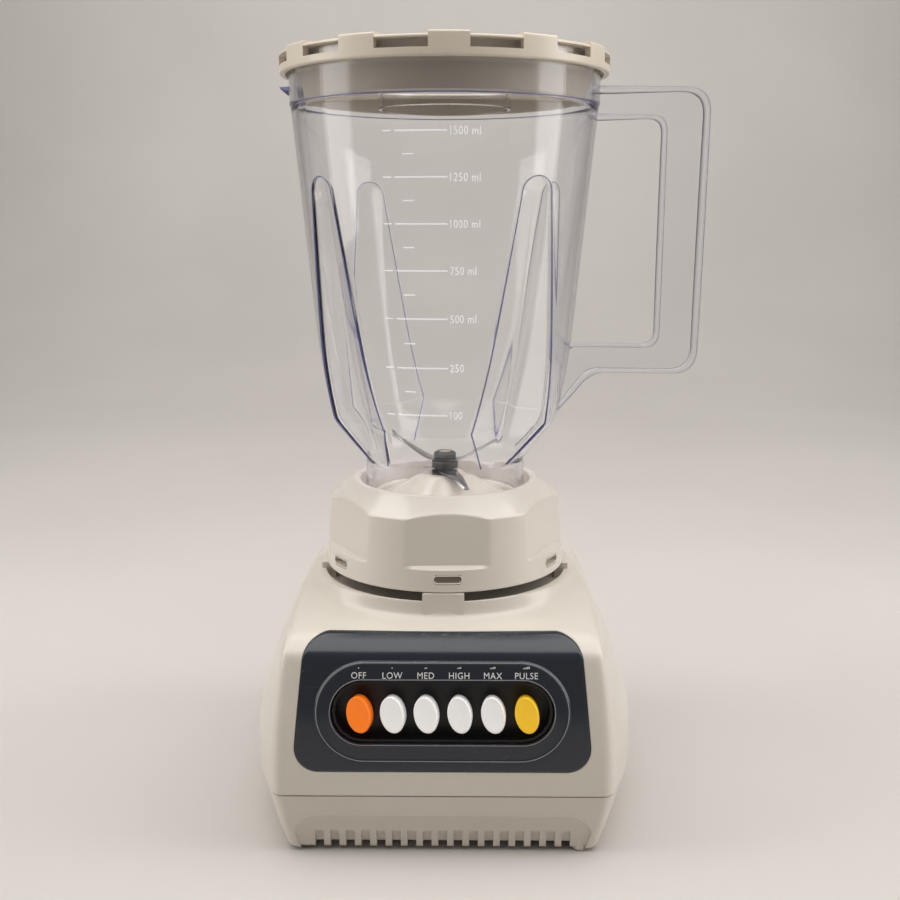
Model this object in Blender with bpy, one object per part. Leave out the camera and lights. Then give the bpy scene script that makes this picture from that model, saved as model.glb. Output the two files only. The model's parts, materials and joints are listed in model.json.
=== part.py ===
"""Jug blender: a motor base with a row of push buttons, and a clear jug on a screwed collar.

Metres, +Z up. The front, with the buttons, faces -Y, and the jug's handle points to +X. The base
stands on Z = 0, and the origin is at the bottom centre of the whole outline, so the drive axis
stands a little to -X of it. Pieces on the drive axis are children of the empty drive_axis, and
the push buttons are children of the empty panel_frame, whose Z axis points out of the face.
"""

import math

import bpy
import numpy as np

# ---------------------------------------------------------------- driving dimensions
GAP = 0.0003  # between pieces that touch
LOOSE = 0.0012  # around a piece that slides or turns with room to spare

# Base housing
FOOT_HEIGHT = 0.0030
FOOT_RADIUS = 0.0065
FOOT_X = 0.056
FOOT_Y = 0.068
BASE_HALF_WIDTH = 0.0914
BASE_HALF_DEPTH = 0.0884
CREASE_HALF_WIDTH = 0.0740
LOWER_HEIGHT = 0.0265
UPPER_HEIGHT = 0.0792
BASE_WALL = 0.0030
FLOOR = 0.0025
SIDE_BULGE = 2.2  # power of the curve that the side follows between its two creases

# Turret on top of the base, where the collar stands
TRAY_RADIUS = 0.0572
TRAY_DEPTH = 0.0047
DECK = 0.0025
PAD_WIDTH = 0.0189
PAD_RISE = 0.0034
PAD_INNER = 0.0535
BOSS_RADIUS = 0.0240
BOSS_BORE = 0.0120
BOSS_RISE = 0.0053

# Vents in the lower housing
SLOT_COUNT = 17
SLOT_PITCH = 0.00686
SLOT_WIDTH = 0.0039
SLOT_TOP = 0.0072  # above the lower edge
VENT_PANEL_HALF_WIDTH = 0.0660
VENT_PANEL_TOP = 0.0154
VENT_PANEL_CORNER = 0.0110
VENT_PANEL_DEPTH = 0.0009

# Control panel and its opening
PANEL_BOTTOM_RISE = 0.0112  # above the parting line
PANEL_TOP_RISE = 0.0690
PANEL_BOTTOM_HALF = 0.0646
PANEL_TOP_HALF = 0.0612
PANEL_CORNER = 0.0105
PANEL_PROUD = 0.0004
PANEL_SUNK = 0.0014
FACE_TILT = math.radians(9.6)
BUTTON_ROW_RISE = 0.0375
OPENING_HALF_LENGTH = 0.0485
OPENING_HALF_HEIGHT = 0.0137
BEZEL_HALF_LENGTH = 0.0553
BEZEL_HALF_HEIGHT = 0.0218
BEZEL_PROUD = 0.0006

# Push buttons, their well and their switches
BUTTONS = [
    ("button_off", (1.0, 0.19, 0.01)),
    ("button_low", (0.79, 0.78, 0.76)),
    ("button_medium", (0.79, 0.78, 0.76)),
    ("button_high", (0.79, 0.78, 0.76)),
    ("button_max", (0.79, 0.78, 0.76)),
    ("button_pulse", (0.84, 0.48, 0.03)),
]
BUTTON_PITCH = 0.01453
BUTTON_HALF_WIDTH = 0.0051
BUTTON_HALF_HEIGHT = 0.0085
BUTTON_LEAN = math.radians(11)
BUTTON_PROUD = 0.0040
BUTTON_TRAVEL = 0.0040
BUTTON_BODY = 0.0055  # how far the cap reaches in behind the face
WELL_DEPTH = 0.0120
WELL_WALL = 0.0012
STEM_RADIUS = 0.0020
SWITCH_DEPTH = 0.0110
SWITCH_HALF_HEIGHT = 0.0080
STEM_INTO_SWITCH = 0.0025

# Collar
COLLAR_HEIGHT = 0.0413
COLLAR_BOTTOM_RADIUS = 0.0582
COLLAR_SHOULDER_RADIUS = 0.0556
COLLAR_SHOULDER_DROP = 0.0090
COLLAR_LIP_RADIUS = 0.0457
COLLAR_BORE = 0.0413
COLLAR_SKIRT_INNER = 0.0512
COLLAR_TUBE_WALL = 0.0030
LEDGE_RISE = 0.0146
LEDGE_THICK = 0.0030
LEDGE_BORE = 0.0345
FACET_COUNT = 6
FACET_TURN = math.radians(32)
FACET_RADIUS = 0.0538
FACET_BOTTOM_RISE = 0.0105
COLLAR_SLOT_LENGTH = 0.0127
COLLAR_SLOT_HEIGHT = 0.0030
COLLAR_SLOT_RISE = 0.0033

# Blade unit
BASE_FLANGE = 0.0025
SEAL_THICK = 0.0020
SEAL_WIDTH = 0.0045
CONE_FOOT_RADIUS = 0.0335
CONE_FOOT_RISE = 0.0112
CONE_TOP_RADIUS = 0.0102
CONE_TOP_RISE = 0.0247
CONE_WALL = 0.0026
SPINDLE_RADIUS = 0.0030
BUSH_WALL = 0.0030
WASHER_THICK = 0.0010
BLADE_REACH = 0.0270
BLADE_HUB = 0.0085
BLADE_WIDTH = 0.0090
BLADE_THICK = 0.0013
BLADE_RISE = 0.0105
BLADE_DROP = 0.0045
BLADE_SPACER = 0.0034
NUT_HEIGHT = 0.0026
UPPER_BLADE_TURN = math.radians(165)
LOWER_BLADE_TURN = math.radians(-70)
DOG_RADIUS = 0.0095
DOG_LOBE = 0.0022
DOG_LOBES = 6
DOG_HEIGHT = 0.0095
DOG_HUB_RADIUS = 0.0080
DOG_HUB_HEIGHT = 0.0060
CUP_RADIUS = 0.0150
CUP_TOP = 0.0042

# Jug
JUG_HEIGHT = 0.2118
JUG_WALL = 0.0025
JUG_TOP_RADIUS = 0.0705
JUG_TAPER = 0.0963  # radius lost for each metre below the step
JUG_STEP = 0.0004
STEP_DROP = 0.0202  # below the rim
TUCK_RISE = 0.0890  # above the neck's lower end: below it the wall curves in
TUCK = 1.87  # inward curve below that height, per metre squared
CORNER_RISE = 0.0480
NECK_TOP_RISE = 0.0281
NECK_RADIUS = 0.0382
NECK_FOOT_RADIUS = 0.0392
THREAD_HEIGHT = 0.0106
THREAD_RADIUS = COLLAR_BORE - GAP
FLUTE_COUNT = 4
FLUTE_TURN = math.radians(37)
FLUTE_TOP_DROP = 0.0530  # below the rim
FLUTE_ARCH = 0.0070
FLUTE_TOP_HALF = 0.0081
FLUTE_CORNER_HALF = 0.0220
FLUTE_NECK_HALF = 0.0070
FLUTE_DEPTH = 0.0090
SPOUT_ANGLE = math.radians(175)
SPOUT_REACH = 0.0066
SPOUT_HALF_WIDTH = 0.0065
SPOUT_TOP_DROP = 0.0105
SPOUT_HEIGHT = 0.0075

# Handle, drawn in the upright plane through the drive axis
HANDLE_ANGLE = math.radians(-5)
HANDLE_WEB = 0.0025
HANDLE_OUTER_BEAD = 0.0019
HANDLE_INNER_BEAD = 0.0016
HANDLE_REACH = 0.1191
HANDLE_FOOT_REACH = 0.1174
HANDLE_TOP_DROP = 0.0133
HANDLE_BOTTOM_RISE = 0.0708
HANDLE_ROOT_RADIUS = 0.0690
HANDLE_GRIP_WIDTH = 0.0188
HANDLE_BAR_WIDTH = 0.0119
HANDLE_OUTER_CORNER = 0.0110
HANDLE_INNER_CORNER = 0.0065

# Lid and filler cap
LID_RADIUS = 0.0750
LID_RING_WALL = 0.0027
LID_RING_HEIGHT = 0.0098
LID_RIM_COVER = 0.0024  # lid above the underside that stops on the rim
LID_SKIRT_TOP = 0.0676
LID_SKIRT_BOTTOM = 0.0641
LID_SKIRT_WALL = 0.0020
LID_SKIRT_DEPTH = 0.0213
LID_DECK_SUNK = 0.0045
LID_DECK_THICK = 0.0025
LID_DECK_RADIUS = 0.0610
LID_OPENING = 0.0318
WINDOW_COUNT = 12
WINDOW_TURN = math.radians(17.2)
WINDOW_HALF_ANGLE = math.radians(8.6)
WINDOW_SILL = 0.0034
WINDOW_HEAD = 0.0010
SEGMENT_STEP = 0.00125
CAP_RADIUS = 0.0305
CAP_WALL = 0.0016
CAP_DEPTH = 0.0202
CAP_FLANGE = 0.0360
CAP_FLANGE_THICK = 0.0020
CAP_GRIP_RISE = 0.0020
CAP_GRIP_HALF = 0.0210
CAP_GRIP_THICK = 0.0050

# Motor
SHAFT_RADIUS = 0.0040
STATOR_HALF_X = 0.0340
STATOR_HALF_Y = 0.0320
STATOR_FRAME = 0.0060
STACK_HEIGHT = 0.0300
STACK_RISE = 0.0390  # above the feet
POLE_HALF = 0.0120
ARMATURE_RADIUS = 0.0206
ARMATURE_SLOTS = 12
AIR_GAP = 0.0008
SHOE_THICK = 0.0030
COIL_LEG = 0.0060
WINDING_RADIUS = 0.0165
WINDING_HEIGHT = 0.0075
COMMUTATOR_RADIUS = 0.0110
COMMUTATOR_HEIGHT = 0.0095
BRACKET_THICK = 0.0030
BRACKET_RADIUS = 0.0440
LOWER_BRACKET_RISE = 0.0150
UPPER_BRACKET_DROP = 0.0175  # below the deck
BEARING_RADIUS = 0.0085
BEARING_HEIGHT = 0.0050
BRACKET_VENT = 0.0060
BRACKET_VENT_PLACE = 0.0200
BRUSH_HALF = 0.0038
BRUSH_LENGTH = 0.0160
FAN_RADIUS = 0.0290
FAN_HEIGHT = 0.0060
FAN_BLADES = 8
MOUNT_RADIUS = 0.0045
MOUNT_PLACE = 0.0270
SCREW_X = 0.0680
SCREW_Y = 0.0450
SCREW_SHANK = 0.0017
SCREW_HEAD = 0.0039
SCREW_LENGTH = 0.0300
SCREW_BOSS = 0.0055
SCREW_BOSS_RISE = 0.0165
HEAD_HEIGHT = 0.0028
GLAND_RADIUS = 0.0055
GLAND_FLANGE = 0.0078
GLAND_BORE = 0.0034
GLAND_PROUD = 0.0020
GLAND_RISE = 0.0150

FINE = 48
ROUND = 32
SMALL = 16

# ---------------------------------------------------------------- heights and places
PARTING_Z = FOOT_HEIGHT + LOWER_HEIGHT
TURRET_Z = PARTING_Z + UPPER_HEIGHT
TRAY_Z = TURRET_Z - TRAY_DEPTH
DECK_Z = TRAY_Z - DECK
PAD_Z = TURRET_Z + PAD_RISE
COLLAR_Z = PAD_Z + GAP
COLLAR_TOP_Z = COLLAR_Z + COLLAR_HEIGHT
LEDGE_Z = COLLAR_Z + LEDGE_RISE + LEDGE_THICK
FLANGE_Z = LEDGE_Z + GAP
SEAL_Z = FLANGE_Z + BASE_FLANGE + GAP
JUG_Z = SEAL_Z + SEAL_THICK + GAP
RIM_Z = JUG_Z + JUG_HEIGHT
LID_TOP_Z = RIM_Z + GAP + LID_RIM_COVER
LID_RING_Z = LID_TOP_Z - LID_RING_HEIGHT
LID_DECK_Z = LID_TOP_Z - LID_DECK_SUNK
HUB_Z = FLANGE_Z + CONE_TOP_RISE
BUTTON_ROW_Z = PARTING_Z + BUTTON_ROW_RISE
STACK_Z = FOOT_HEIGHT + STACK_RISE
HANDLE_FAR = HANDLE_REACH + HANDLE_OUTER_BEAD
AXIS_X = -(HANDLE_FAR * math.cos(HANDLE_ANGLE) - BASE_HALF_WIDTH) / 2

# Stations of the base: share of the height, then how far the side, the face and the crease stand
# in from their largest size, and how round the outline is (0 has creases, 1 is an ellipse).
UPPER_STATIONS = [
    (0.000, 0.0000, 0.0000, 0.0000, 0.0),
    (0.152, 0.0002, 0.0006, 0.0001, 0.0),
    (0.391, 0.0059, 0.0025, 0.0009, 0.0),
    (0.587, 0.0106, 0.0055, 0.0022, 0.0),
    (0.707, 0.0142, 0.0077, 0.0032, 0.0),
    (0.769, 0.0164, 0.0092, 0.0038, 0.0),
    (0.827, 0.0188, 0.0138, 0.0044, 0.0),
    (0.872, 0.0208, 0.0193, 0.0050, 0.12),
    (0.898, 0.0219, 0.0248, 0.0080, 0.6),
    (0.934, 0.0238, 0.0278, 0.0120, 0.9),
    (1.000, 0.0269, 0.0289, 0.0160, 1.0),
]
LOWER_STATIONS = [
    (0.00, 0.0114, 0.0049, 0.0060, 0.0),
    (0.45, 0.0054, 0.0027, 0.0028, 0.0),
    (1.00, 0.0002, 0.0002, 0.0001, 0.0),
]


# ---------------------------------------------------------------- helpers
def material(name, color, roughness, metallic=0.0, alpha=1.0):
    """A Principled material."""
    made = bpy.data.materials.new(name)
    made.use_nodes = True
    shader = made.node_tree.nodes["Principled BSDF"]
    shader.inputs["Base Color"].default_value = (*color, 1.0)
    shader.inputs["Roughness"].default_value = roughness
    shader.inputs["Metallic"].default_value = metallic
    shader.inputs["Alpha"].default_value = alpha
    return made


def make(name, points, faces, finish, parent, smooth=True):
    """An object made of points and faces, in the space of its parent."""
    mesh = bpy.data.meshes.new(name)
    mesh.from_pydata([tuple(map(float, p)) for p in points], [], faces)
    mesh.validate()
    if smooth:
        mesh.shade_smooth()
        mesh.set_sharp_from_angle(angle=math.radians(35))
    if finish:
        mesh.materials.append(finish)
    made = bpy.data.objects.new(name, mesh)
    made.parent = parent
    bpy.context.scene.collection.objects.link(made)
    return made


def helper(name, points, faces, parent):
    """A hidden solid that a Boolean uses."""
    made = make(name, points, faces, None, parent, smooth=False)
    made.hide_render = True
    made.display_type = "WIRE"
    return made


def boolean(piece, other, operation="DIFFERENCE"):
    """Cuts another solid from this piece, or joins it to this piece."""
    step = piece.modifiers.new(operation.lower() + "_" + other.name, "BOOLEAN")
    step.operation = operation
    step.solver = "EXACT"
    step.object = other


def stacked(rings, closed=False):
    """Points and faces of rings joined one to the next, from low to high and anticlockwise.

    With closed, the last ring joins the first. Without it, both ends are capped.
    """
    count = len(rings[0])
    points = np.concatenate(rings)
    faces = []
    last = len(rings) if closed else len(rings) - 1
    for level in range(last):
        low, high = level * count, ((level + 1) % len(rings)) * count
        for i in range(count):
            j = (i + 1) % count
            faces.append((low + i, low + j, high + j, high + i))
    if not closed:
        faces.append(tuple(range(count - 1, -1, -1)))
        faces.append(tuple(range((len(rings) - 1) * count, len(rings) * count)))
    return points, faces


def circle(radius, z, count, turn=0.0):
    """A ring of points about the Z axis."""
    angles = turn + np.linspace(0, 2 * np.pi, count, endpoint=False)
    return np.stack([radius * np.cos(angles), radius * np.sin(angles), np.full(count, z)], axis=1)


def turned(profile, count, closed=False):
    """A shape turned about Z from (radius, z) points: up the outside, then down the inside."""
    return stacked([circle(radius, z, count) for radius, z in profile], closed)


def prism(outline, low, high):
    """An outline of (x, y) points, anticlockwise, drawn up from low to high."""
    flat = np.array(outline)
    rings = [np.c_[flat, np.full(len(flat), z)] for z in (low, high)]
    return stacked(rings)


def box(low, high):
    """A box between two corners."""
    outline = [(low[0], low[1]), (high[0], low[1]), (high[0], high[1]), (low[0], high[1])]
    return prism(outline, low[2], high[2])


def many(solids):
    """Several solids as one mesh."""
    points, faces, start = [], [], 0
    for some_points, some_faces in solids:
        points.extend(some_points)
        faces.extend(tuple(start + i for i in face) for face in some_faces)
        start += len(some_points)
    return points, faces


def turn_z(solid, angle):
    """The solid turned about Z."""
    points, faces = solid
    c, s = math.cos(angle), math.sin(angle)
    return np.asarray(points) @ np.array([[c, s, 0], [-s, c, 0], [0, 0, 1]]), faces


def rounded(corners, radius, steps=4):
    """A closed outline whose corners are arcs of one radius."""
    corners = [np.array(c, float) for c in corners]
    outline = []
    for i, corner in enumerate(corners):
        before = corners[i - 1] - corner
        after = corners[(i + 1) % len(corners)] - corner
        outline.extend(arc_at(corner, before, after, radius, steps))
    return outline


def arc_at(corner, before, after, radius, steps):
    """Points of the arc that rounds one corner, given the directions of its two sides."""
    before, after = before / np.linalg.norm(before), after / np.linalg.norm(after)
    half = math.acos(np.clip(before @ after, -1, 1)) / 2
    middle = before + after
    centre = corner + middle / np.linalg.norm(middle) * radius / math.sin(half)
    start = corner + before * radius / math.tan(half) - centre
    end = corner + after * radius / math.tan(half) - centre
    sweep = math.pi - 2 * half
    side = 1 if start[0] * end[1] - start[1] * end[0] > 0 else -1
    angles = [side * sweep * k / steps for k in range(steps + 1)]
    turns = [np.array([[math.cos(a), -math.sin(a)], [math.sin(a), math.cos(a)]]) for a in angles]
    return [centre + t @ start for t in turns]


def stadium(half_length, half_height, steps=8):
    """A slot outline with round ends, anticlockwise."""
    flat = half_length - half_height
    outline = []
    for centre, first in ((flat, -90), (-flat, 90)):
        for k in range(steps + 1):
            angle = math.radians(first + 180 * k / steps)
            outline.append((centre + half_height * math.cos(angle), half_height * math.sin(angle)))
    return outline


def along_y(solid):
    """Stands a solid drawn in (x, y) with its depth along z up, so that y becomes height."""
    points, faces = solid
    points = np.asarray(points)
    return np.stack([points[:, 0], -points[:, 2], points[:, 1]], axis=1), faces


def pipe(path, radius, sides=8):
    """A rod of round section along an open path of (x, z) points, in the plane y = 0."""
    path = np.array(path)
    ahead = np.gradient(path, axis=0)
    ahead /= np.linalg.norm(ahead, axis=1)[:, None]
    across = np.stack([-ahead[:, 1], ahead[:, 0]], axis=1)
    rings = []
    for place, normal in zip(path, across):
        angles = 2 * np.pi * np.arange(sides) / sides
        out = radius * np.cos(angles)
        ring = np.stack(
            [place[0] + out * normal[0], radius * np.sin(angles), place[1] + out * normal[1]],
            axis=1,
        )
        rings.append(ring)
    return stacked(rings)


# ---------------------------------------------------------------- base housing
def station_at(stations, share):
    """Insets and roundness of the outline at a share of the height."""
    heights = [row[0] for row in stations]
    return [np.interp(share, heights, [row[k] for row in stations]) for k in range(1, 5)]


def face_depth(z):
    """How far the front face stands from the drive axis at a height of the upper housing."""
    return BASE_HALF_DEPTH - station_at(UPPER_STATIONS, (z - PARTING_Z) / UPPER_HEIGHT)[1]


def side_reach(stations, share, y, inset=0.0):
    """Half-width of the base at one share of its height and one distance from the middle."""
    side, face, crease, _ = station_at(stations, share)
    half_width = BASE_HALF_WIDTH - side - inset
    half_depth = BASE_HALF_DEPTH - face - inset
    edge = CREASE_HALF_WIDTH - crease - inset
    return half_width - (half_width - edge) * (abs(y) / half_depth) ** SIDE_BULGE


def outline_at(stations, share, z, inset=0.0, across=8, around=12):
    """One outline of the base: two flat faces and two bulging sides, eased to an ellipse."""
    side, face, crease, roundness = station_at(stations, share)
    half_width = BASE_HALF_WIDTH - side - inset
    half_depth = BASE_HALF_DEPTH - face - inset
    edge = CREASE_HALF_WIDTH - crease - inset
    crease_angle = math.atan2(half_depth, edge)
    quarter = []
    for k in range(around // 2):
        share_out = k / (around // 2)
        y = half_depth * share_out
        x = half_width - (half_width - edge) * share_out**SIDE_BULGE
        angle = crease_angle * share_out
        quarter.append((x, y, angle))
    for k in range(across // 2):
        share_in = k / (across // 2)
        angle = crease_angle + (math.pi / 2 - crease_angle) * share_in
        quarter.append((edge * (1 - share_in), half_depth, angle))
    top = (0.0, half_depth, math.pi / 2)
    corner = quarter + [top]
    half = corner + [(-x, y, math.pi - a) for x, y, a in reversed(quarter)]
    full = half + [(-x, -y, math.pi + a) for x, y, a in half[1:-1]]
    points = []
    for x, y, angle in full:
        round_x, round_y = half_width * math.cos(angle), half_depth * math.sin(angle)
        mixed_x = x + (round_x - x) * roundness
        mixed_y = y + (round_y - y) * roundness
        points.append((mixed_x, mixed_y, z))
    return np.array(points)


def screw_places():
    """The four corners where screws hold the two housings together."""
    return [(sx * SCREW_X, sy * SCREW_Y) for sx in (-1, 1) for sy in (-1, 1)]


def lower_housing(cream, axis):
    """Tray-shaped lower housing with its vents, screw towers and cord hole."""
    top = PARTING_Z - GAP
    rings = [
        outline_at(LOWER_STATIONS, share, FOOT_HEIGHT + share * (top - FOOT_HEIGHT))
        for share, *_ in LOWER_STATIONS
    ]
    piece = make("lower_housing", *stacked(rings), cream, axis)
    floor_z = FOOT_HEIGHT + FLOOR
    inner = [
        outline_at(LOWER_STATIONS, share, z, BASE_WALL)
        for share, z in ((0.1, floor_z), (0.45, FOOT_HEIGHT + 0.45 * LOWER_HEIGHT), (1, PARTING_Z))
    ]
    inner.append(inner[-1] + np.array([0, 0, BASE_WALL]))
    boolean(piece, helper("lower_cavity", *stacked(inner), axis))
    towers = [turned([(SCREW_BOSS, floor_z - FLOOR / 2), (SCREW_BOSS, top - GAP)], SMALL)] * 4
    towers = many((pts + [*at, 0], fcs) for (pts, fcs), at in zip(towers, screw_places()))
    boolean(piece, helper("lower_towers", *towers, axis), "UNION")
    seat = FOOT_HEIGHT + FLOOR + HEAD_HEIGHT + 2 * GAP
    bore = [
        (SCREW_HEAD + GAP, FOOT_HEIGHT - FLOOR),
        (SCREW_HEAD + GAP, seat),
        (SCREW_SHANK + GAP, seat),
        (SCREW_SHANK + GAP, PARTING_Z + FLOOR),
    ]
    bores = [turned(bore, SMALL)] * 4
    bores = many((pts + [*at, 0], fcs) for (pts, fcs), at in zip(bores, screw_places()))
    boolean(piece, helper("lower_bores", *bores, axis))
    boolean(piece, helper("vent_panel_cut", *vent_panel_cut(), axis))
    boolean(piece, helper("vent_slots", *vent_slots(), axis))
    gland_hole = gland_turned(
        [(GLAND_RADIUS + GAP, -2 * BASE_WALL), (GLAND_RADIUS + GAP, 2 * BASE_WALL)]
    )
    boolean(piece, helper("gland_hole", *gland_hole, axis))
    return piece


def lower_face(z):
    """Front face of the lower housing at a height."""
    return BASE_HALF_DEPTH - station_at(LOWER_STATIONS, (z - FOOT_HEIGHT) / LOWER_HEIGHT)[1]


def vent_panel_cut():
    """Shallow arched recess in the front of the lower housing, open at its lower edge."""
    bottom, top = FOOT_HEIGHT - FLOOR, FOOT_HEIGHT + VENT_PANEL_TOP
    half = VENT_PANEL_HALF_WIDTH
    corners = [(-half, bottom), (half, bottom), (half, top), (-half, top)]
    outline = [corners[0], corners[1]]
    outline += [tuple(p) for p in rounded(corners, VENT_PANEL_CORNER)[10:]]
    low_y, high_y = lower_face(FOOT_HEIGHT), lower_face(PARTING_Z)
    slope = (high_y - low_y) / (PARTING_Z - FOOT_HEIGHT)
    rings = []
    for out in (-VENT_PANEL_DEPTH, 4 * VENT_PANEL_DEPTH):
        ring = [(x, -(low_y + slope * (z - FOOT_HEIGHT) + out), z) for x, z in outline]
        rings.append(np.array(ring))
    return stacked(rings)


def vent_slots():
    """A comb of slots through the front wall and the edge of the floor."""
    depth = BASE_HALF_DEPTH
    slots = []
    for k in range(SLOT_COUNT):
        x = (k - (SLOT_COUNT - 1) / 2) * SLOT_PITCH
        low = (x - SLOT_WIDTH / 2, -depth - BASE_WALL, FOOT_HEIGHT - FLOOR)
        high = (x + SLOT_WIDTH / 2, -depth + 4 * BASE_WALL, FOOT_HEIGHT + SLOT_TOP)
        slots.append(box(low, high))
    return many(slots)


def upper_housing(cream, axis, face_frame):
    """Upper housing: a shell with a turret on top and the seat of the control panel in front."""
    rings = [
        outline_at(UPPER_STATIONS, share, PARTING_Z + share * UPPER_HEIGHT)
        for share, *_ in UPPER_STATIONS
    ]
    piece = make("upper_housing", *stacked(rings), cream, axis)
    inner = [outline_at(UPPER_STATIONS, 0, PARTING_Z - 2 * BASE_WALL, BASE_WALL)]
    for share, *_ in UPPER_STATIONS:
        z = PARTING_Z + share * UPPER_HEIGHT - BASE_WALL
        if z < DECK_Z:
            inner.append(outline_at(UPPER_STATIONS, share, z, BASE_WALL))
    inner.append(inner[-1] * [1, 1, 0] + [0, 0, DECK_Z])
    boolean(piece, helper("upper_cavity", *stacked(inner), axis))
    tray = turned([(TRAY_RADIUS, TRAY_Z), (TRAY_RADIUS, TURRET_Z + TRAY_DEPTH)], FINE)
    boolean(piece, helper("turret_tray", *tray, axis))
    boss = turned([(BOSS_RADIUS, TRAY_Z - DECK / 2), (BOSS_RADIUS, TURRET_Z + BOSS_RISE)], ROUND)
    boolean(piece, helper("turret_boss", *boss, axis), "UNION")
    boolean(piece, helper("collar_pads", *collar_pads(), axis), "UNION")
    bore = turned([(BOSS_BORE, DECK_Z - DECK), (BOSS_BORE, PAD_Z + DECK)], ROUND)
    boolean(piece, helper("turret_bore", *bore, axis))
    boolean(piece, helper("upper_bosses", *upper_bosses(), axis), "UNION")
    pilot = [(SCREW_SHANK + GAP, PARTING_Z - BASE_WALL), (SCREW_SHANK + GAP, screw_tip() + GAP)]
    pilots = [turned(pilot, SMALL)] * 4
    pilots = many((pts + [*at, 0], fcs) for (pts, fcs), at in zip(pilots, screw_places()))
    boolean(piece, helper("upper_pilots", *pilots, axis))
    recess = helper("panel_recess", *face_layer(PANEL_SUNK + GAP, 2 * BASE_WALL), axis)
    boolean(recess, helper("recess_outline", *panel_outline(GAP), axis), "INTERSECT")
    boolean(piece, recess)
    boolean(piece, face_opening("housing_opening", face_frame))
    return piece


def collar_pads():
    """Four pads around the turret's rim that carry the collar."""
    pad = box(
        (PAD_INNER, -PAD_WIDTH / 2, TRAY_Z - DECK / 2), (TRAY_RADIUS + BASE_WALL / 2, PAD_WIDTH / 2, PAD_Z)
    )
    return many(turn_z(pad, k * math.pi / 2) for k in range(4))


def screw_tip():
    """Height of the upper ends of the screws."""
    return FOOT_HEIGHT + FLOOR + SCREW_LENGTH


def upper_bosses():
    """Bosses that take the screws, each tied to the side wall by a rib."""
    low, high = PARTING_Z + GAP, PARTING_Z + SCREW_BOSS_RISE
    boss = turned([(SCREW_BOSS, low), (SCREW_BOSS, high)], SMALL)
    solids = []
    share = SCREW_BOSS_RISE / UPPER_HEIGHT
    wall = side_reach(UPPER_STATIONS, share, SCREW_Y, BASE_WALL) + BASE_WALL / 2
    for x, y in screw_places():
        ends = sorted((x, math.copysign(wall, x)))
        rib = box((ends[0], y - BASE_WALL / 2, low + GAP), (ends[1], y + BASE_WALL / 2, high - GAP))
        solids += [(boss[0] + [x, y, 0], boss[1]), rib]
    joined = helper("boss_ribs", *many(solids[1::2]), bpy.data.objects["drive_axis"])
    made = helper("boss_posts", *many(solids[0::2]), bpy.data.objects["drive_axis"])
    boolean(made, joined, "UNION")
    graph = bpy.context.evaluated_depsgraph_get()
    mesh = made.evaluated_get(graph).to_mesh()
    points = [tuple(v.co) for v in mesh.vertices]
    return points, [tuple(p.vertices) for p in mesh.polygons]


# ---------------------------------------------------------------- control panel
def face_layer(inward, outward):
    """A layer that follows the front face, from inside it to outside it, across the whole width."""
    low, high = PARTING_Z + PANEL_BOTTOM_RISE, PARTING_Z + PANEL_TOP_RISE
    stations = [PARTING_Z + row[0] * UPPER_HEIGHT for row in UPPER_STATIONS]
    heights = [z for z in stations if low - 0.012 < z < high + 0.003]
    line = np.array([(-face_depth(z), z) for z in heights])
    along = np.gradient(line, axis=0)
    along /= np.linalg.norm(along, axis=1)[:, None]
    normal = np.stack([-along[:, 1], along[:, 0]], axis=1)
    outline = np.concatenate([line + normal * outward, (line - normal * inward)[::-1]])
    rings = []
    for x in (BASE_HALF_WIDTH, -BASE_HALF_WIDTH):
        rings.append(np.array([(x, y, z) for y, z in outline]))
    return stacked(rings)


def panel_outline(grow):
    """Outline of the control panel, drawn through the front of the base."""
    low, high = PARTING_Z + PANEL_BOTTOM_RISE - grow, PARTING_Z + PANEL_TOP_RISE + grow
    bottom, top = PANEL_BOTTOM_HALF + grow, PANEL_TOP_HALF + grow
    corners = [(-bottom, low), (bottom, low), (top, high), (-top, high)]
    outline = rounded(corners, PANEL_CORNER + grow, steps=6)
    return along_y(prism(outline, BASE_HALF_DEPTH / 2, BASE_HALF_DEPTH * 1.2))


def face_opening(name, face_frame, grow=0.0):
    """Slot-shaped cutter for the row of buttons, square to the tilted face."""
    outline = stadium(OPENING_HALF_LENGTH + grow, OPENING_HALF_HEIGHT + grow)
    return helper(name, *prism(outline, -WELL_DEPTH, WELL_DEPTH), face_frame)


def control_panel(slate, axis, face_frame):
    """Panel that follows the front face, with a raised bezel around the row of buttons."""
    piece = make("control_panel", *face_layer(PANEL_SUNK, PANEL_PROUD), slate, axis)
    boolean(piece, helper("panel_shape", *panel_outline(0.0), axis), "INTERSECT")
    slab = prism(stadium(BEZEL_HALF_LENGTH, BEZEL_HALF_HEIGHT), -PANEL_SUNK / 2, BEZEL_PROUD)
    boolean(piece, helper("bezel_slab", *slab, face_frame), "UNION")
    boolean(piece, face_opening("panel_opening", face_frame))
    return piece


def button_well(black, face_frame):
    """Tray behind the opening, with a guide hole for each button's stem."""
    outline = stadium(OPENING_HALF_LENGTH - GAP, OPENING_HALF_HEIGHT - GAP)
    piece = make("button_well", *prism(outline, -WELL_DEPTH, -WELL_WALL), black, face_frame)
    inner = stadium(OPENING_HALF_LENGTH - GAP - WELL_WALL, OPENING_HALF_HEIGHT - GAP - WELL_WALL)
    hollow = prism(inner, -WELL_DEPTH + WELL_WALL, WELL_WALL)
    boolean(piece, helper("well_hollow", *hollow, face_frame))
    boolean(piece, stem_holes("well_stem_holes", face_frame, -WELL_DEPTH - WELL_WALL, 0.0))
    return piece


def button_place(index):
    """Distance of a button from the middle of the row."""
    return (index - (len(BUTTONS) - 1) / 2) * BUTTON_PITCH


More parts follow.
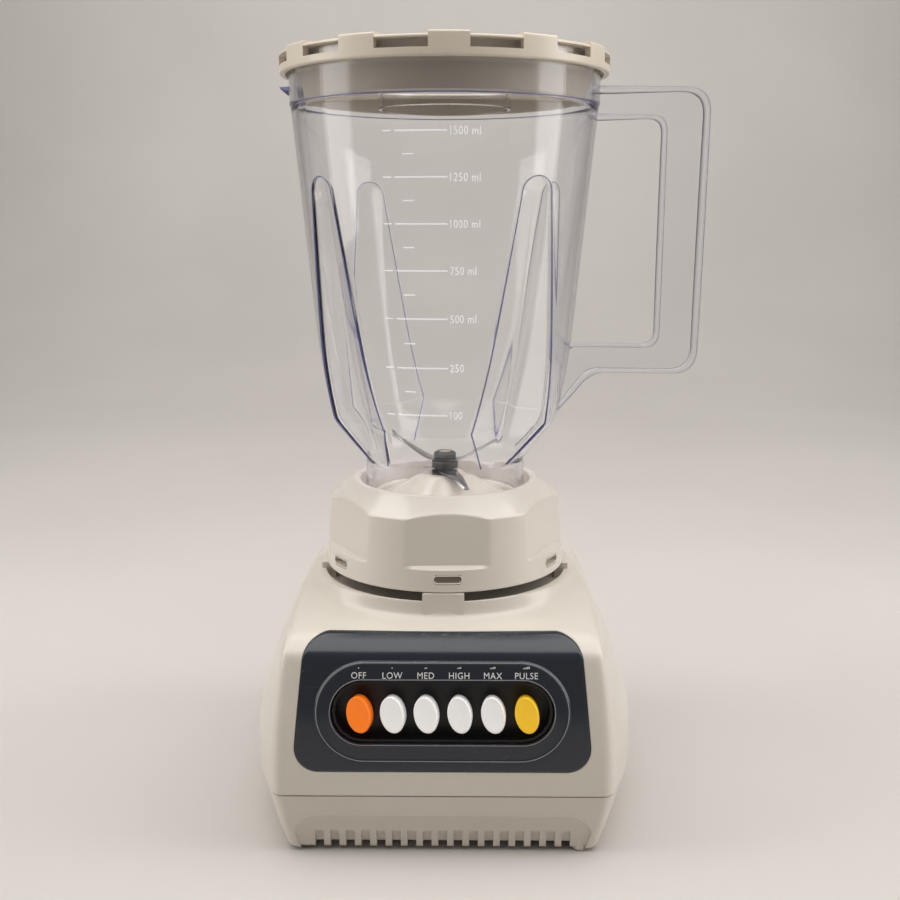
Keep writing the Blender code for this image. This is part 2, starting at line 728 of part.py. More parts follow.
def stem_holes(name, face_frame, low, high):
    """Round holes that the button stems pass through."""
    hole = turned([(STEM_RADIUS + GAP, low), (STEM_RADIUS + GAP, high)], SMALL // 2)
    places = [button_place(k) for k in range(len(BUTTONS))]
    return helper(name, *many((hole[0] + [x, 0, 0], hole[1]) for x in places), face_frame)


def push_button(index, name, finish, face_frame):
    """Oval button with a stem, its origin on its own line of travel."""
    count = SMALL
    angles = np.linspace(0, 2 * np.pi, count, endpoint=False)
    oval_x = BUTTON_HALF_WIDTH * np.cos(angles)
    oval_y = BUTTON_HALF_HEIGHT * np.sin(angles)
    lean_x = oval_x * math.cos(BUTTON_LEAN) - oval_y * math.sin(BUTTON_LEAN)
    lean_y = oval_x * math.sin(BUTTON_LEAN) + oval_y * math.cos(BUTTON_LEAN)
    stem_end = -(WELL_DEPTH + GAP + STEM_INTO_SWITCH)
    rings = [circle(STEM_RADIUS, stem_end, count), circle(STEM_RADIUS, -BUTTON_BODY, count)]
    for scale, z in ((1.0, -BUTTON_BODY), (1.0, BUTTON_PROUD * 0.8), (0.88, BUTTON_PROUD)):
        rings.append(np.stack([lean_x * scale, lean_y * scale, np.full(count, z)], axis=1))
    piece = make(name, *stacked(rings), finish, face_frame)
    piece.location = (button_place(index), 0.0, 0.0)
    return piece


def switch_bank(finish, face_frame):
    """Block of switches behind the well, with a blind hole for each stem."""
    front = -WELL_DEPTH - GAP
    back = front - SWITCH_DEPTH
    half = OPENING_HALF_LENGTH - OPENING_HALF_HEIGHT / 2
    block = box((-half, -SWITCH_HALF_HEIGHT, back), (half, SWITCH_HALF_HEIGHT, front))
    piece = make("switch_bank", *block, finish, face_frame, smooth=False)
    bottom = front - STEM_INTO_SWITCH - BUTTON_TRAVEL - LOOSE
    boolean(piece, stem_holes("switch_stem_holes", face_frame, bottom, 0.0))
    return piece


# ---------------------------------------------------------------- small base pieces
def gland_turned(profile):
    """A shape turned about the cord's line through the back wall, with its depth along +Y."""
    points, faces = turned(profile, SMALL)
    points = np.asarray(points)
    z = FOOT_HEIGHT + GLAND_RISE
    wall = lower_face(z)
    return np.stack([points[:, 0], wall + points[:, 2], z - points[:, 1]], axis=1), faces


def cord_gland(finish, axis):
    """Inlet for the supply cord in the back of the lower housing."""
    z = FOOT_HEIGHT + GLAND_RISE
    lean = lower_face(z + GLAND_FLANGE) - lower_face(z) + GAP
    profile = [
        (GLAND_RADIUS, -BASE_WALL - GAP),
        (GLAND_RADIUS, lean),
        (GLAND_FLANGE, lean),
        (GLAND_FLANGE, lean + GLAND_PROUD / 2),
        (GLAND_RADIUS, lean + GLAND_PROUD),
    ]
    points, faces = gland_turned(profile)
    piece = make("cord_gland", points, faces, finish, axis)
    hole = gland_turned([(GLAND_BORE, -3 * BASE_WALL), (GLAND_BORE, 3 * BASE_WALL)])
    boolean(piece, helper("cord_hole", *hole, axis))
    return piece


def feet(finish, axis):
    """Four round feet under the corners."""
    profile = [(FOOT_RADIUS * 0.85, 0.0), (FOOT_RADIUS, FOOT_HEIGHT / 3), (FOOT_RADIUS, FOOT_HEIGHT - GAP)]
    for row, y in (("front", -FOOT_Y), ("back", FOOT_Y)):
        for side, x in (("left", -FOOT_X), ("right", FOOT_X)):
            foot = make(f"foot_{row}_{side}", *turned(profile, SMALL), finish, axis)
            foot.location = (x, y, 0.0)


def housing_screws(finish, axis):
    """Four screws that hold the housings together, driven from below."""
    head_z = FOOT_HEIGHT + FLOOR
    profile = [
        (SCREW_HEAD, head_z),
        (SCREW_HEAD, head_z + HEAD_HEIGHT),
        (SCREW_SHANK, head_z + HEAD_HEIGHT),
        (SCREW_SHANK, screw_tip() - SCREW_SHANK),
        (SCREW_SHANK / 3, screw_tip()),
    ]
    for number, (x, y) in enumerate(screw_places(), 1):
        screw = make(f"housing_screw_{number}", *turned(profile, SMALL // 2), finish, axis)
        screw.location = (x, y, 0.0)


# ---------------------------------------------------------------- motor
def stator_outline():
    """Frame of the stator from above, with two pole necks and their curved shoes."""
    inner_x, inner_y = STATOR_HALF_X - STATOR_FRAME, STATOR_HALF_Y - STATOR_FRAME
    shoe_in = ARMATURE_RADIUS + AIR_GAP
    shoe_out = shoe_in + SHOE_THICK
    reach = math.radians(52)
    arc = [math.pi / 2 - reach + 2 * reach * k / 10 for k in range(11)]
    neck = math.acos(POLE_HALF / shoe_out)
    window = [(-POLE_HALF, inner_y), (-inner_x, inner_y), (-inner_x, -inner_y)]
    tip_in = [(shoe_in * math.cos(a), shoe_in * math.sin(a)) for a in arc]
    tip_right = [(shoe_out * math.cos(arc[0]), shoe_out * math.sin(arc[0]))]
    tip_left = [(shoe_out * math.cos(arc[-1]), shoe_out * math.sin(arc[-1]))]
    neck_y = shoe_out * math.sin(neck)
    front = [(POLE_HALF, inner_y), (POLE_HALF, neck_y), *tip_right, *tip_in]
    front += [*tip_left, (-POLE_HALF, neck_y), *window]
    return front + [(-x, -y) for x, y in front]


def stator_core(steel, axis):
    """Laminated stator: a rectangular block with its window cut out around the poles."""
    low, high = STACK_Z, STACK_Z + STACK_HEIGHT
    corners = [(-1, -1), (1, -1), (1, 1), (-1, 1)]
    outline = rounded([(x * STATOR_HALF_X, y * STATOR_HALF_Y) for x, y in corners], STATOR_FRAME, 3)
    piece = make("stator_core", *prism(outline, low, high), steel, axis)
    cut = prism(stator_outline(), low - STATOR_FRAME, high + STATOR_FRAME)
    boolean(piece, helper("stator_window", *cut, axis))
    return piece


def field_coil(name, side, copper, axis):
    """Flat loop of wire around one pole of the stator."""
    shoe_out = ARMATURE_RADIUS + AIR_GAP + SHOE_THICK
    near = math.sqrt(shoe_out**2 - POLE_HALF**2) + GAP
    far = STATOR_HALF_Y - STATOR_FRAME - GAP
    half = POLE_HALF + GAP
    low, high = STACK_Z - GAP, STACK_Z + STACK_HEIGHT + GAP
    hole = [(-half, low), (half, low), (half, high), (-half, high)]
    leg = COIL_LEG
    loop = [
        (-half - leg, low - leg),
        (half + leg, low - leg),
        (half + leg, high + leg),
        (-half - leg, high + leg),
    ]
    depth = sorted((-side * near, -side * far))
    outer = along_y(prism(rounded(loop, leg * 0.8), *depth))
    piece = make(name, *outer, copper, axis)
    inner = along_y(prism(hole, depth[0] - leg, depth[1] + leg))
    boolean(piece, helper(name + "_hole", *inner, axis))
    return piece


def armature(steel, axis):
    """Slotted armature stack with the bulge of its windings above and below it."""
    tooth = 2 * math.pi / ARMATURE_SLOTS
    floor = ARMATURE_RADIUS * 0.78
    outline = []
    for k in range(ARMATURE_SLOTS):
        middle = k * tooth
        for radius, share in (
            (floor, -0.42),
            (ARMATURE_RADIUS, -0.38),
            (ARMATURE_RADIUS, 0.0),
            (ARMATURE_RADIUS, 0.38),
            (floor, 0.42),
        ):
            angle = middle + share * tooth
            outline.append((radius * math.cos(angle), radius * math.sin(angle)))
    low, high = STACK_Z, STACK_Z + STACK_HEIGHT
    piece = make("armature", *prism(outline, low, high), steel, axis)
    bulge = WINDING_HEIGHT
    profile = [
        (WINDING_RADIUS * 0.7, low - bulge),
        (WINDING_RADIUS, low - bulge * 0.6),
        (WINDING_RADIUS * 0.92, low + bulge / 4),
        (WINDING_RADIUS * 0.92, high - bulge / 4),
        (WINDING_RADIUS, high + bulge * 0.6),
        (WINDING_RADIUS * 0.7, high + bulge),
    ]
    boolean(piece, helper("armature_windings", *turned(profile, SMALL), axis), "UNION")
    bore = [(SHAFT_RADIUS + GAP, low - 2 * bulge), (SHAFT_RADIUS + GAP, high + 2 * bulge)]
    boolean(piece, helper("armature_bore", *turned(bore, SMALL), axis))
    return piece


def sleeve(name, inner, outer, low, high, finish, axis, count=SMALL):
    """A plain ring about the drive axis."""
    profile = [(outer, low), (outer, high), (inner, high), (inner, low)]
    return make(name, *turned(profile, count, closed=True), finish, axis)


def lower_bracket_top():
    """Upper face of the lower bracket."""
    return FOOT_HEIGHT + LOWER_BRACKET_RISE + BRACKET_THICK


def bracket(name, low, leg_ends, finish, axis):
    """Round end bracket with a bearing seat and a leg to each corner of the stator."""
    high = low + BRACKET_THICK
    piece = make(name, *turned([(BRACKET_RADIUS, low), (BRACKET_RADIUS, high)], ROUND), finish, axis)
    leg = STATOR_FRAME * 0.75
    x, y = STATOR_HALF_X - STATOR_FRAME / 2, STATOR_HALF_Y - STATOR_FRAME
    legs = []
    for sx in (-1, 1):
        for sy in (-1, 1):
            low_leg = (sx * x - leg / 2, sy * y - leg / 2, leg_ends[0])
            legs.append(box(low_leg, (sx * x + leg / 2, sy * y + leg / 2, leg_ends[1])))
    boolean(piece, helper(name + "_legs", *many(legs), axis), "UNION")
    seat = BEARING_RADIUS + GAP
    bore = turned([(seat, low - leg), (seat, high + leg)], SMALL)
    boolean(piece, helper(name + "_bore", *bore, axis))
    vents = []
    for k in range(4):
        vent = turned([(BRACKET_VENT, low - leg), (BRACKET_VENT, high + leg)], SMALL // 2)
        vents.append(turn_z((vent[0] + [BRACKET_VENT_PLACE, 0, 0], vent[1]), k * math.pi / 2))
    boolean(piece, helper(name + "_vents", *many(vents), axis))
    return piece


def brush_holder(name, side, brass, axis):
    """Holder with its carbon brush, standing on the lower bracket."""
    start = COMMUTATOR_RADIUS + GAP
    ends = sorted((side * start, side * (start + BRUSH_LENGTH)))
    low = lower_bracket_top() + GAP
    block = box(
        (ends[0], -BRUSH_HALF, low), (ends[1], BRUSH_HALF, low + COMMUTATOR_HEIGHT - 2 * GAP)
    )
    return make(name, *block, brass, axis, smooth=False)


def cooling_fan(finish, axis):
    """Fan under the lower bracket: a hub with flat blades set aslant."""
    low = FOOT_HEIGHT + FLOOR + LOOSE * 1.5
    high = low + FAN_HEIGHT
    hub = [
        (2 * SHAFT_RADIUS, low),
        (2 * SHAFT_RADIUS, high),
        (SHAFT_RADIUS + GAP, high),
        (SHAFT_RADIUS + GAP, low),
    ]
    piece = make("cooling_fan", *turned(hub, SMALL, closed=True), finish, axis)
    lean = FAN_HEIGHT * 0.9
    thick = GAP * 5
    blades = []
    for k in range(FAN_BLADES):
        root, tip = SHAFT_RADIUS * 1.5, FAN_RADIUS
        bottom = [(root, -lean - thick), (tip, -lean - thick), (tip, -lean), (root, -lean)]
        top = [(root, -thick), (tip, -thick), (tip, 0.0), (root, 0.0)]
        rings = [
            np.array([(x, y + lean / 2, low + GAP) for x, y in bottom]),
            np.array([(x, y + lean / 2, high - GAP) for x, y in top]),
        ]
        blades.append(turn_z(stacked(rings), 2 * math.pi * k / FAN_BLADES))
    boolean(piece, helper("fan_blades", *many(blades), axis), "UNION")
    return piece


def motor(axis, steel, copper, brass, black, rubber, plain):
    """The motor inside the base, from the fan up to the drive dog."""
    stator_core(steel, axis)
    field_coil("field_coil_front", 1, copper, axis)
    field_coil("field_coil_back", -1, copper, axis)
    armature(steel, axis)
    low = lower_bracket_top() + GAP
    sleeve("commutator", SHAFT_RADIUS + GAP, COMMUTATOR_RADIUS, low, low + COMMUTATOR_HEIGHT, copper, axis)
    brush_holder("brush_holder_left", -1, brass, axis)
    brush_holder("brush_holder_right", 1, brass, axis)
    bottom = lower_bracket_top() - BRACKET_THICK
    bracket("lower_bracket", bottom, (bottom + BRACKET_THICK / 2, STACK_Z - GAP), plain, axis)
    top = DECK_Z - UPPER_BRACKET_DROP
    legs = (STACK_Z + STACK_HEIGHT + GAP, top + BRACKET_THICK / 2)
    bracket("upper_bracket", top, legs, plain, axis)
    bore = SHAFT_RADIUS + GAP
    seat = lower_bracket_top() - BEARING_HEIGHT
    sleeve("lower_bearing", bore, BEARING_RADIUS, seat, seat + BEARING_HEIGHT, brass, axis)
    seat = top - BEARING_HEIGHT / 4
    sleeve("upper_bearing", bore, BEARING_RADIUS, seat, seat + BEARING_HEIGHT, brass, axis)
    cooling_fan(black, axis)
    shaft_foot = FOOT_HEIGHT + FLOOR + LOOSE
    shaft = turned([(SHAFT_RADIUS, shaft_foot), (SHAFT_RADIUS, drive_foot() + DOG_HUB_HEIGHT)], SMALL)
    make("motor_shaft", *shaft, steel, axis)
    drive_dog(plain, axis)
    for number in range(4):
        angle = math.pi / 4 + number * math.pi / 2
        reach = MOUNT_PLACE * math.sqrt(2)
        low, high = top + BRACKET_THICK + GAP, DECK_Z - GAP
        pad = [(MOUNT_RADIUS, low), (MOUNT_RADIUS, high)]
        piece = make(f"motor_mount_{number + 1}", *turned(pad, SMALL), rubber, axis)
        piece.location = (reach * math.cos(angle), reach * math.sin(angle), 0.0)


# ---------------------------------------------------------------- drive dogs
def drive_foot():
    """Lower face of the drive dog's hub."""
    return TRAY_Z


def lobed(grow, z, count=FINE):
    """Outline of the drive dog: a circle with a wave of lobes around it."""
    angles = np.linspace(0, 2 * np.pi, count, endpoint=False)
    radius = DOG_RADIUS - DOG_LOBE / 2 + grow + DOG_LOBE / 2 * np.cos(DOG_LOBES * angles)
    return np.stack([radius * np.cos(angles), radius * np.sin(angles), np.full(count, z)], axis=1)


def drive_dog(finish, axis):
    """Lobed driver on top of the motor shaft."""
    foot = drive_foot()
    step = foot + DOG_HUB_HEIGHT
    hub = circle(DOG_HUB_RADIUS * 0.9, foot, FINE)
    rings = [hub, hub + [0, 0, DOG_HUB_HEIGHT], lobed(0.0, step), lobed(0.0, step + DOG_HEIGHT)]
    piece = make("drive_dog", *stacked(rings), finish, axis)
    bore = SHAFT_RADIUS + GAP
    socket = turned([(bore, foot - DOG_HEIGHT), (bore, step + GAP)], SMALL)
    boolean(piece, helper("drive_dog_socket", *socket, axis))
    return piece


def cup_foot():
    """Lower face of the driven cup, just above the boss."""
    return TURRET_Z + BOSS_RISE + LOOSE


def cup_roof():
    """Roof of the pocket in the driven cup."""
    return drive_foot() + DOG_HUB_HEIGHT + DOG_HEIGHT + GAP


def blade_dog(rubber, axis):
    """Driven cup on the blade spindle, whose pocket fits over the drive dog."""
    roof = cup_roof()
    piece = make(
        "blade_dog", *turned([(CUP_RADIUS, cup_foot()), (CUP_RADIUS, roof + CUP_TOP)], ROUND), rubber, axis
    )
    pocket = stacked([lobed(GAP, cup_foot() - DOG_HEIGHT), lobed(GAP, roof)])
    boolean(piece, helper("blade_dog_pocket", *pocket, axis))
    bore = turned([(SPINDLE_RADIUS + GAP, roof - GAP), (SPINDLE_RADIUS + GAP, roof + 2 * CUP_TOP)], SMALL)
    boolean(piece, helper("blade_dog_bore", *bore, axis))
    return piece


# ---------------------------------------------------------------- blade unit
def blade_base(cream, axis):
    """Cone that closes the jug from below and carries the blade bush."""
    flange_top = FLANGE_Z + BASE_FLANGE
    tube = SPINDLE_RADIUS + GAP + BUSH_WALL + GAP
    foot = tube_foot()
    cone_foot = FLANGE_Z + CONE_FOOT_RISE
    inside = CONE_TOP_RADIUS + CONE_WALL / 2
    profile = [
        (CONE_TOP_RADIUS, foot),
        (inside * 0.9, HUB_Z - 2 * CONE_WALL),
        (CONE_FOOT_RADIUS - CONE_WALL, cone_foot - CONE_WALL),
        (CONE_FOOT_RADIUS - CONE_WALL, FLANGE_Z),
        (COLLAR_BORE - GAP, FLANGE_Z),
        (COLLAR_BORE - GAP, flange_top),
        (CONE_FOOT_RADIUS + CONE_WALL / 2, flange_top),
        (CONE_FOOT_RADIUS, cone_foot),
        (CONE_TOP_RADIUS, HUB_Z),
        (tube, HUB_Z),
        (tube, foot),
    ]
    return make("blade_base", *turned(profile, ROUND, closed=True), cream, axis)


def tube_foot():
    """Lower end of the tube that holds the blade bush."""
    return cup_roof() + CUP_TOP + LOOSE


def blade_strip(reach, tip_height):
    """A bent strip: a flat middle and two tapered wings whose tips stand at tip_height."""
    stations = [
        (-reach, 0.28, tip_height),
        (-reach * 0.62, 0.72, tip_height * 0.52),
        (-BLADE_HUB * 0.9, 1.0, 0.0),
        (BLADE_HUB * 0.9, 1.0, 0.0),
        (reach * 0.62, 0.72, tip_height * 0.52),
        (reach, 0.28, tip_height),
    ]
    rings = []
    for x, width, z in stations:
        half = BLADE_WIDTH / 2 * width
        rings.append(
            np.array(
                [
                    (x, half, z),
                    (x, -half, z),
                    (x, -half, z + BLADE_THICK),
                    (x, half, z + BLADE_THICK),
                ]
            )
        )
    return stacked([ring[::-1] for ring in rings])


def blade(name, z, tip_height, turn, steel, axis):
    """One blade, bored for the spindle."""
    points, faces = turn_z(blade_strip(BLADE_REACH, tip_height), turn)
    piece = make(name, points + [0, 0, z], faces, steel, axis, smooth=False)
    bore = SPINDLE_RADIUS + GAP
    hole = turned([(bore, z - BLADE_SPACER), (bore, z + BLADE_SPACER + BLADE_THICK)], SMALL)
    boolean(piece, helper(name + "_bore", *hole, axis))
    return piece


def blade_unit(axis, cream, steel, dark, bronze, rubber):
    """Everything between the collar and the jug, from the driven cup to the blade nut."""
    blade_base(cream, axis)
    seal_in, seal_out = COLLAR_BORE - GAP - SEAL_WIDTH, COLLAR_BORE - GAP
    sleeve("base_seal", seal_in, seal_out, SEAL_Z, SEAL_Z + SEAL_THICK, rubber, axis, ROUND)
    bore = SPINDLE_RADIUS + GAP
    sleeve("blade_bush", bore, bore + BUSH_WALL, tube_foot(), HUB_Z, bronze, axis)
    washer_z = HUB_Z + GAP
    sleeve("spindle_washer", bore, BLADE_HUB * 0.75, washer_z, washer_z + WASHER_THICK, rubber, axis)
    lower_z = washer_z + WASHER_THICK + GAP
    blade("lower_blade", lower_z, -BLADE_DROP, LOWER_BLADE_TURN, steel, axis)
    spacer_z = lower_z + BLADE_THICK + GAP
    sleeve("blade_spacer", bore, BLADE_HUB * 0.8, spacer_z, spacer_z + BLADE_SPACER, dark, axis)
    upper_z = spacer_z + BLADE_SPACER + GAP
    blade("upper_blade", upper_z, BLADE_RISE, UPPER_BLADE_TURN, steel, axis)
    nut_z = upper_z + BLADE_THICK + GAP
    make("blade_nut", *turned(nut_profile(nut_z), SMALL, closed=True), dark, axis)
    spindle = [
        (SPINDLE_RADIUS, cup_roof() + GAP),
        (SPINDLE_RADIUS, nut_z + NUT_HEIGHT),
    ]
    make("blade_spindle", *turned(spindle, SMALL), steel, axis)
    blade_dog(rubber, axis)


def nut_profile(z):
    """Low domed nut on the spindle."""
    bore = SPINDLE_RADIUS + GAP
    wide = BLADE_HUB * 0.7
    top = z + NUT_HEIGHT
    return [(bore, z), (wide, z), (wide, z + NUT_HEIGHT / 2), (wide * 0.8, top), (bore, top)]


# ---------------------------------------------------------------- collar
def collar(cream, axis):
    """Screw collar: a conical shoulder over a skirt with flats, and a tube that takes the neck."""
    shoulder = COLLAR_TOP_Z - COLLAR_SHOULDER_DROP
    tube = COLLAR_BORE + COLLAR_TUBE_WALL
    ledge_foot = LEDGE_Z - LEDGE_THICK
    lip = (COLLAR_LIP_RADIUS - COLLAR_BORE) / 2
    profile = [
        (COLLAR_SKIRT_INNER, COLLAR_Z),
        (COLLAR_BOTTOM_RADIUS, COLLAR_Z),
        (COLLAR_BOTTOM_RADIUS - 0.0010, COLLAR_Z + FACET_BOTTOM_RISE),
        (COLLAR_SHOULDER_RADIUS, shoulder),
        (COLLAR_LIP_RADIUS, COLLAR_TOP_Z - lip * 0.6),
        (COLLAR_BORE + lip, COLLAR_TOP_Z),
        (COLLAR_BORE, COLLAR_TOP_Z - lip * 0.4),
        (COLLAR_BORE, LEDGE_Z),
        (LEDGE_BORE, LEDGE_Z),
        (LEDGE_BORE, ledge_foot),
        (tube, ledge_foot),
        (tube, shoulder + COLLAR_TUBE_WALL),
        (COLLAR_SKIRT_INNER - 0.0010, shoulder - COLLAR_TUBE_WALL / 2),
    ]
    piece = make("collar", *turned(profile, FINE, closed=True), cream, axis)
    flats, slots = [], []
    for k in range(FACET_COUNT):
        angle = FACET_TURN + 2 * math.pi * k / FACET_COUNT
        wide = FACET_RADIUS * 0.55
        flat = box(
            (FACET_RADIUS, -wide, COLLAR_Z + FACET_BOTTOM_RISE),
            (COLLAR_BOTTOM_RADIUS * 1.3, wide, COLLAR_TOP_Z + COLLAR_HEIGHT / 4),
        )
        flats.append(turn_z(flat, angle))
        outline = stadium(COLLAR_SLOT_LENGTH / 2, COLLAR_SLOT_HEIGHT / 2, 4)
        slot, faces = along_y(prism(outline, COLLAR_SKIRT_INNER * 0.9, COLLAR_BOTTOM_RADIUS * 1.1))
        slot = slot + [0, 0, COLLAR_Z + COLLAR_SLOT_RISE]
        slots.append(turn_z((slot, faces), angle + math.pi / 2))
    boolean(piece, helper("collar_flats", *many(flats), axis))
    boolean(piece, helper("collar_slots", *many(slots), axis))
    return piece


# ---------------------------------------------------------------- jug
def jug_radius(z):
    """Outer radius of the jug between its flutes."""
    corner, neck = JUG_Z + CORNER_RISE, JUG_Z + NECK_TOP_RISE
    if z >= corner:
        radius = JUG_TOP_RADIUS - JUG_TAPER * max(0.0, RIM_Z - STEP_DROP - z)
        return radius - TUCK * max(0.0, JUG_Z + TUCK_RISE - z) ** 2
    if z >= neck:
        share = (z - neck) / (corner - neck)
        return NECK_RADIUS + (jug_radius(corner) - NECK_RADIUS) * share
    share = (neck - z) / (neck - JUG_Z)
    return NECK_RADIUS + (NECK_FOOT_RADIUS - NECK_RADIUS) * share


def flute_half(z):
    """Half-width of a flute at a height, and the share of its full depth there."""
    top, corner, neck = RIM_Z - FLUTE_TOP_DROP, JUG_Z + CORNER_RISE, JUG_Z + NECK_TOP_RISE
    if z >= top or z <= neck:
        return FLUTE_NECK_HALF, 0.0
    if z < corner:
        share = (z - neck) / (corner - neck)
        return FLUTE_NECK_HALF + (FLUTE_CORNER_HALF - FLUTE_NECK_HALF) * share, share
    share = (top - z) / (top - corner)
    half = FLUTE_TOP_HALF + (FLUTE_CORNER_HALF - FLUTE_TOP_HALF) * share
    arch = min(1.0, (top - z) / FLUTE_ARCH)
    return half * math.sqrt(arch), share


def jug_ring(z, inset=0.0):
    """One ring of the jug's wall with its flutes pressed in."""
    angles = np.linspace(0, 2 * np.pi, FINE, endpoint=False) + FLUTE_TURN
    radius = jug_radius(z)
    half, share = flute_half(z)
    pitch = 2 * np.pi / FLUTE_COUNT
    from_flute = np.abs((angles - FLUTE_TURN + pitch / 2) % pitch - pitch / 2) * radius
    pressed = FLUTE_DEPTH * share * np.clip(1 - from_flute / half, 0, 1)
    reach = radius - pressed - inset
    return np.stack([reach * np.cos(angles), reach * np.sin(angles), np.full(FINE, z)], axis=1)


def jug_heights():
    """Heights of the rings between the neck and the step below the rim."""
    neck, corner = JUG_Z + NECK_TOP_RISE, JUG_Z + CORNER_RISE
    top = RIM_Z - FLUTE_TOP_DROP
    tapered = [neck + (corner - neck) * k / 3 for k in range(3)]
    wall = [corner + (top - FLUTE_ARCH - corner) * k / 6 for k in range(7)]
    return tapered + wall + [top - FLUTE_ARCH / 2, top - FLUTE_ARCH / 8, top + FLUTE_ARCH]


def jug(clear, axis):
    """Clear jug with four flutes, a spout and a handle moulded in one piece."""
    step_z = RIM_Z - STEP_DROP
    thread_top = JUG_Z + THREAD_HEIGHT
    outer = [circle(THREAD_RADIUS, JUG_Z, FINE, FLUTE_TURN)]
    outer.append(circle(THREAD_RADIUS, thread_top, FINE, FLUTE_TURN))
    outer.append(circle(NECK_FOOT_RADIUS, thread_top + JUG_WALL / 2, FINE, FLUTE_TURN))
    outer += [jug_ring(z) for z in jug_heights()]
    outer.append(jug_ring(step_z))
    outer.append(circle(JUG_TOP_RADIUS + JUG_STEP, step_z + JUG_STEP, FINE, FLUTE_TURN))
    outer.append(circle(JUG_TOP_RADIUS + JUG_STEP, RIM_Z, FINE, FLUTE_TURN))
    rim = JUG_TOP_RADIUS - JUG_WALL
    inner = [circle(rim, RIM_Z, FINE, FLUTE_TURN), circle(rim, step_z, FINE, FLUTE_TURN)]
    inner += [jug_ring(z, JUG_WALL) for z in reversed(jug_heights())]
    inner.append(circle(NECK_FOOT_RADIUS - JUG_WALL, thread_top, FINE, FLUTE_TURN))
    inner.append(circle(NECK_FOOT_RADIUS - JUG_WALL, JUG_Z, FINE, FLUTE_TURN))
    piece = make("jug", *stacked(outer + inner, closed=True), clear, axis)
    boolean(piece, helper("handle_web", *handle_web(), axis), "UNION")
    for name, path, radius in handle_beads():
        points, faces = turn_z(pipe(path, radius), HANDLE_ANGLE)
        boolean(piece, helper(name, points, faces, axis), "UNION")
    boolean(piece, helper("spout", *spout(), axis), "UNION")
    return piece


def handle_paths():
    """Centre lines of the outer and the inner bead, from the upper root to the lower one."""
    root = JUG_WALL * 0.55
    top, bottom = RIM_Z - HANDLE_TOP_DROP, JUG_Z + HANDLE_BOTTOM_RISE
    corner = JUG_Z + CORNER_RISE
    inner_top, inner_bottom = top - HANDLE_BAR_WIDTH, bottom + HANDLE_BAR_WIDTH
    outer = [
        (jug_radius(top) - root, top),
        (HANDLE_REACH, top),
        (HANDLE_FOOT_REACH, bottom),
        (HANDLE_ROOT_RADIUS, bottom),
        (jug_radius(corner) - root, corner + JUG_WALL),
    ]
    grip = HANDLE_GRIP_WIDTH
    inner = [
        (jug_radius(inner_top) - root, inner_top),
        (HANDLE_REACH - grip, inner_top),
        (HANDLE_FOOT_REACH - grip + JUG_WALL / 2, inner_bottom),
        (jug_radius(inner_bottom) - root, inner_bottom),
    ]
    return softened(outer, HANDLE_OUTER_CORNER), softened(inner, HANDLE_INNER_CORNER)


def softened(corners, radius, steps=4):
    """An open path whose inner corners are arcs, each no larger than its sides allow."""
    corners = [np.array(c, float) for c in corners]
    path = [corners[0]]
    for before, here, after in zip(corners, corners[1:], corners[2:]):
        path += arc_at(here, before - here, after - here, radius, steps)
    return path + [corners[-1]]


def handle_web():
    """Flat web of the handle, between the two beads and down to the jug's corner."""
    outer, inner = handle_paths()
    low, high = outer[-1][1], inner[-1][1]
    root = JUG_WALL * 0.55
    wall = [(jug_radius(z) - root, z) for z in np.linspace(low, high, 5)[1:-1]]
    outline = [tuple(p) for p in outer] + wall + [tuple(p) for p in reversed(inner)]
    outline = outline[::-1]
    solid = along_y(prism(outline, -HANDLE_WEB / 2, HANDLE_WEB / 2))
    return turn_z(solid, HANDLE_ANGLE)


def handle_beads():
    """Name, centre line and radius of each bead, ending inside the jug's wall."""
    outer, inner = handle_paths()
    return [
        ("handle_outer_bead", outer, HANDLE_OUTER_BEAD * 0.999),
        ("handle_inner_bead", inner, HANDLE_INNER_BEAD),
    ]


def spout():
    """Small pointed beak under the lid's ring."""
    top = RIM_Z - SPOUT_TOP_DROP
    low = top - SPOUT_HEIGHT
    root = JUG_TOP_RADIUS - JUG_WALL / 2
    tip = JUG_TOP_RADIUS + JUG_STEP + SPOUT_REACH
    half = SPOUT_HALF_WIDTH
    points = [
        (root, -half, top),
        (tip, -GAP, top - GAP),
        (tip, GAP, top - GAP),
        (root, half, top),
        (root, -half / 3, low),
        (root, half / 3, low),
    ]
    faces = [(0, 1, 2, 3), (0, 4, 1), (1, 4, 5, 2), (2, 5, 3), (0, 3, 5, 4)]
    return turn_z((points, faces), SPOUT_ANGLE)


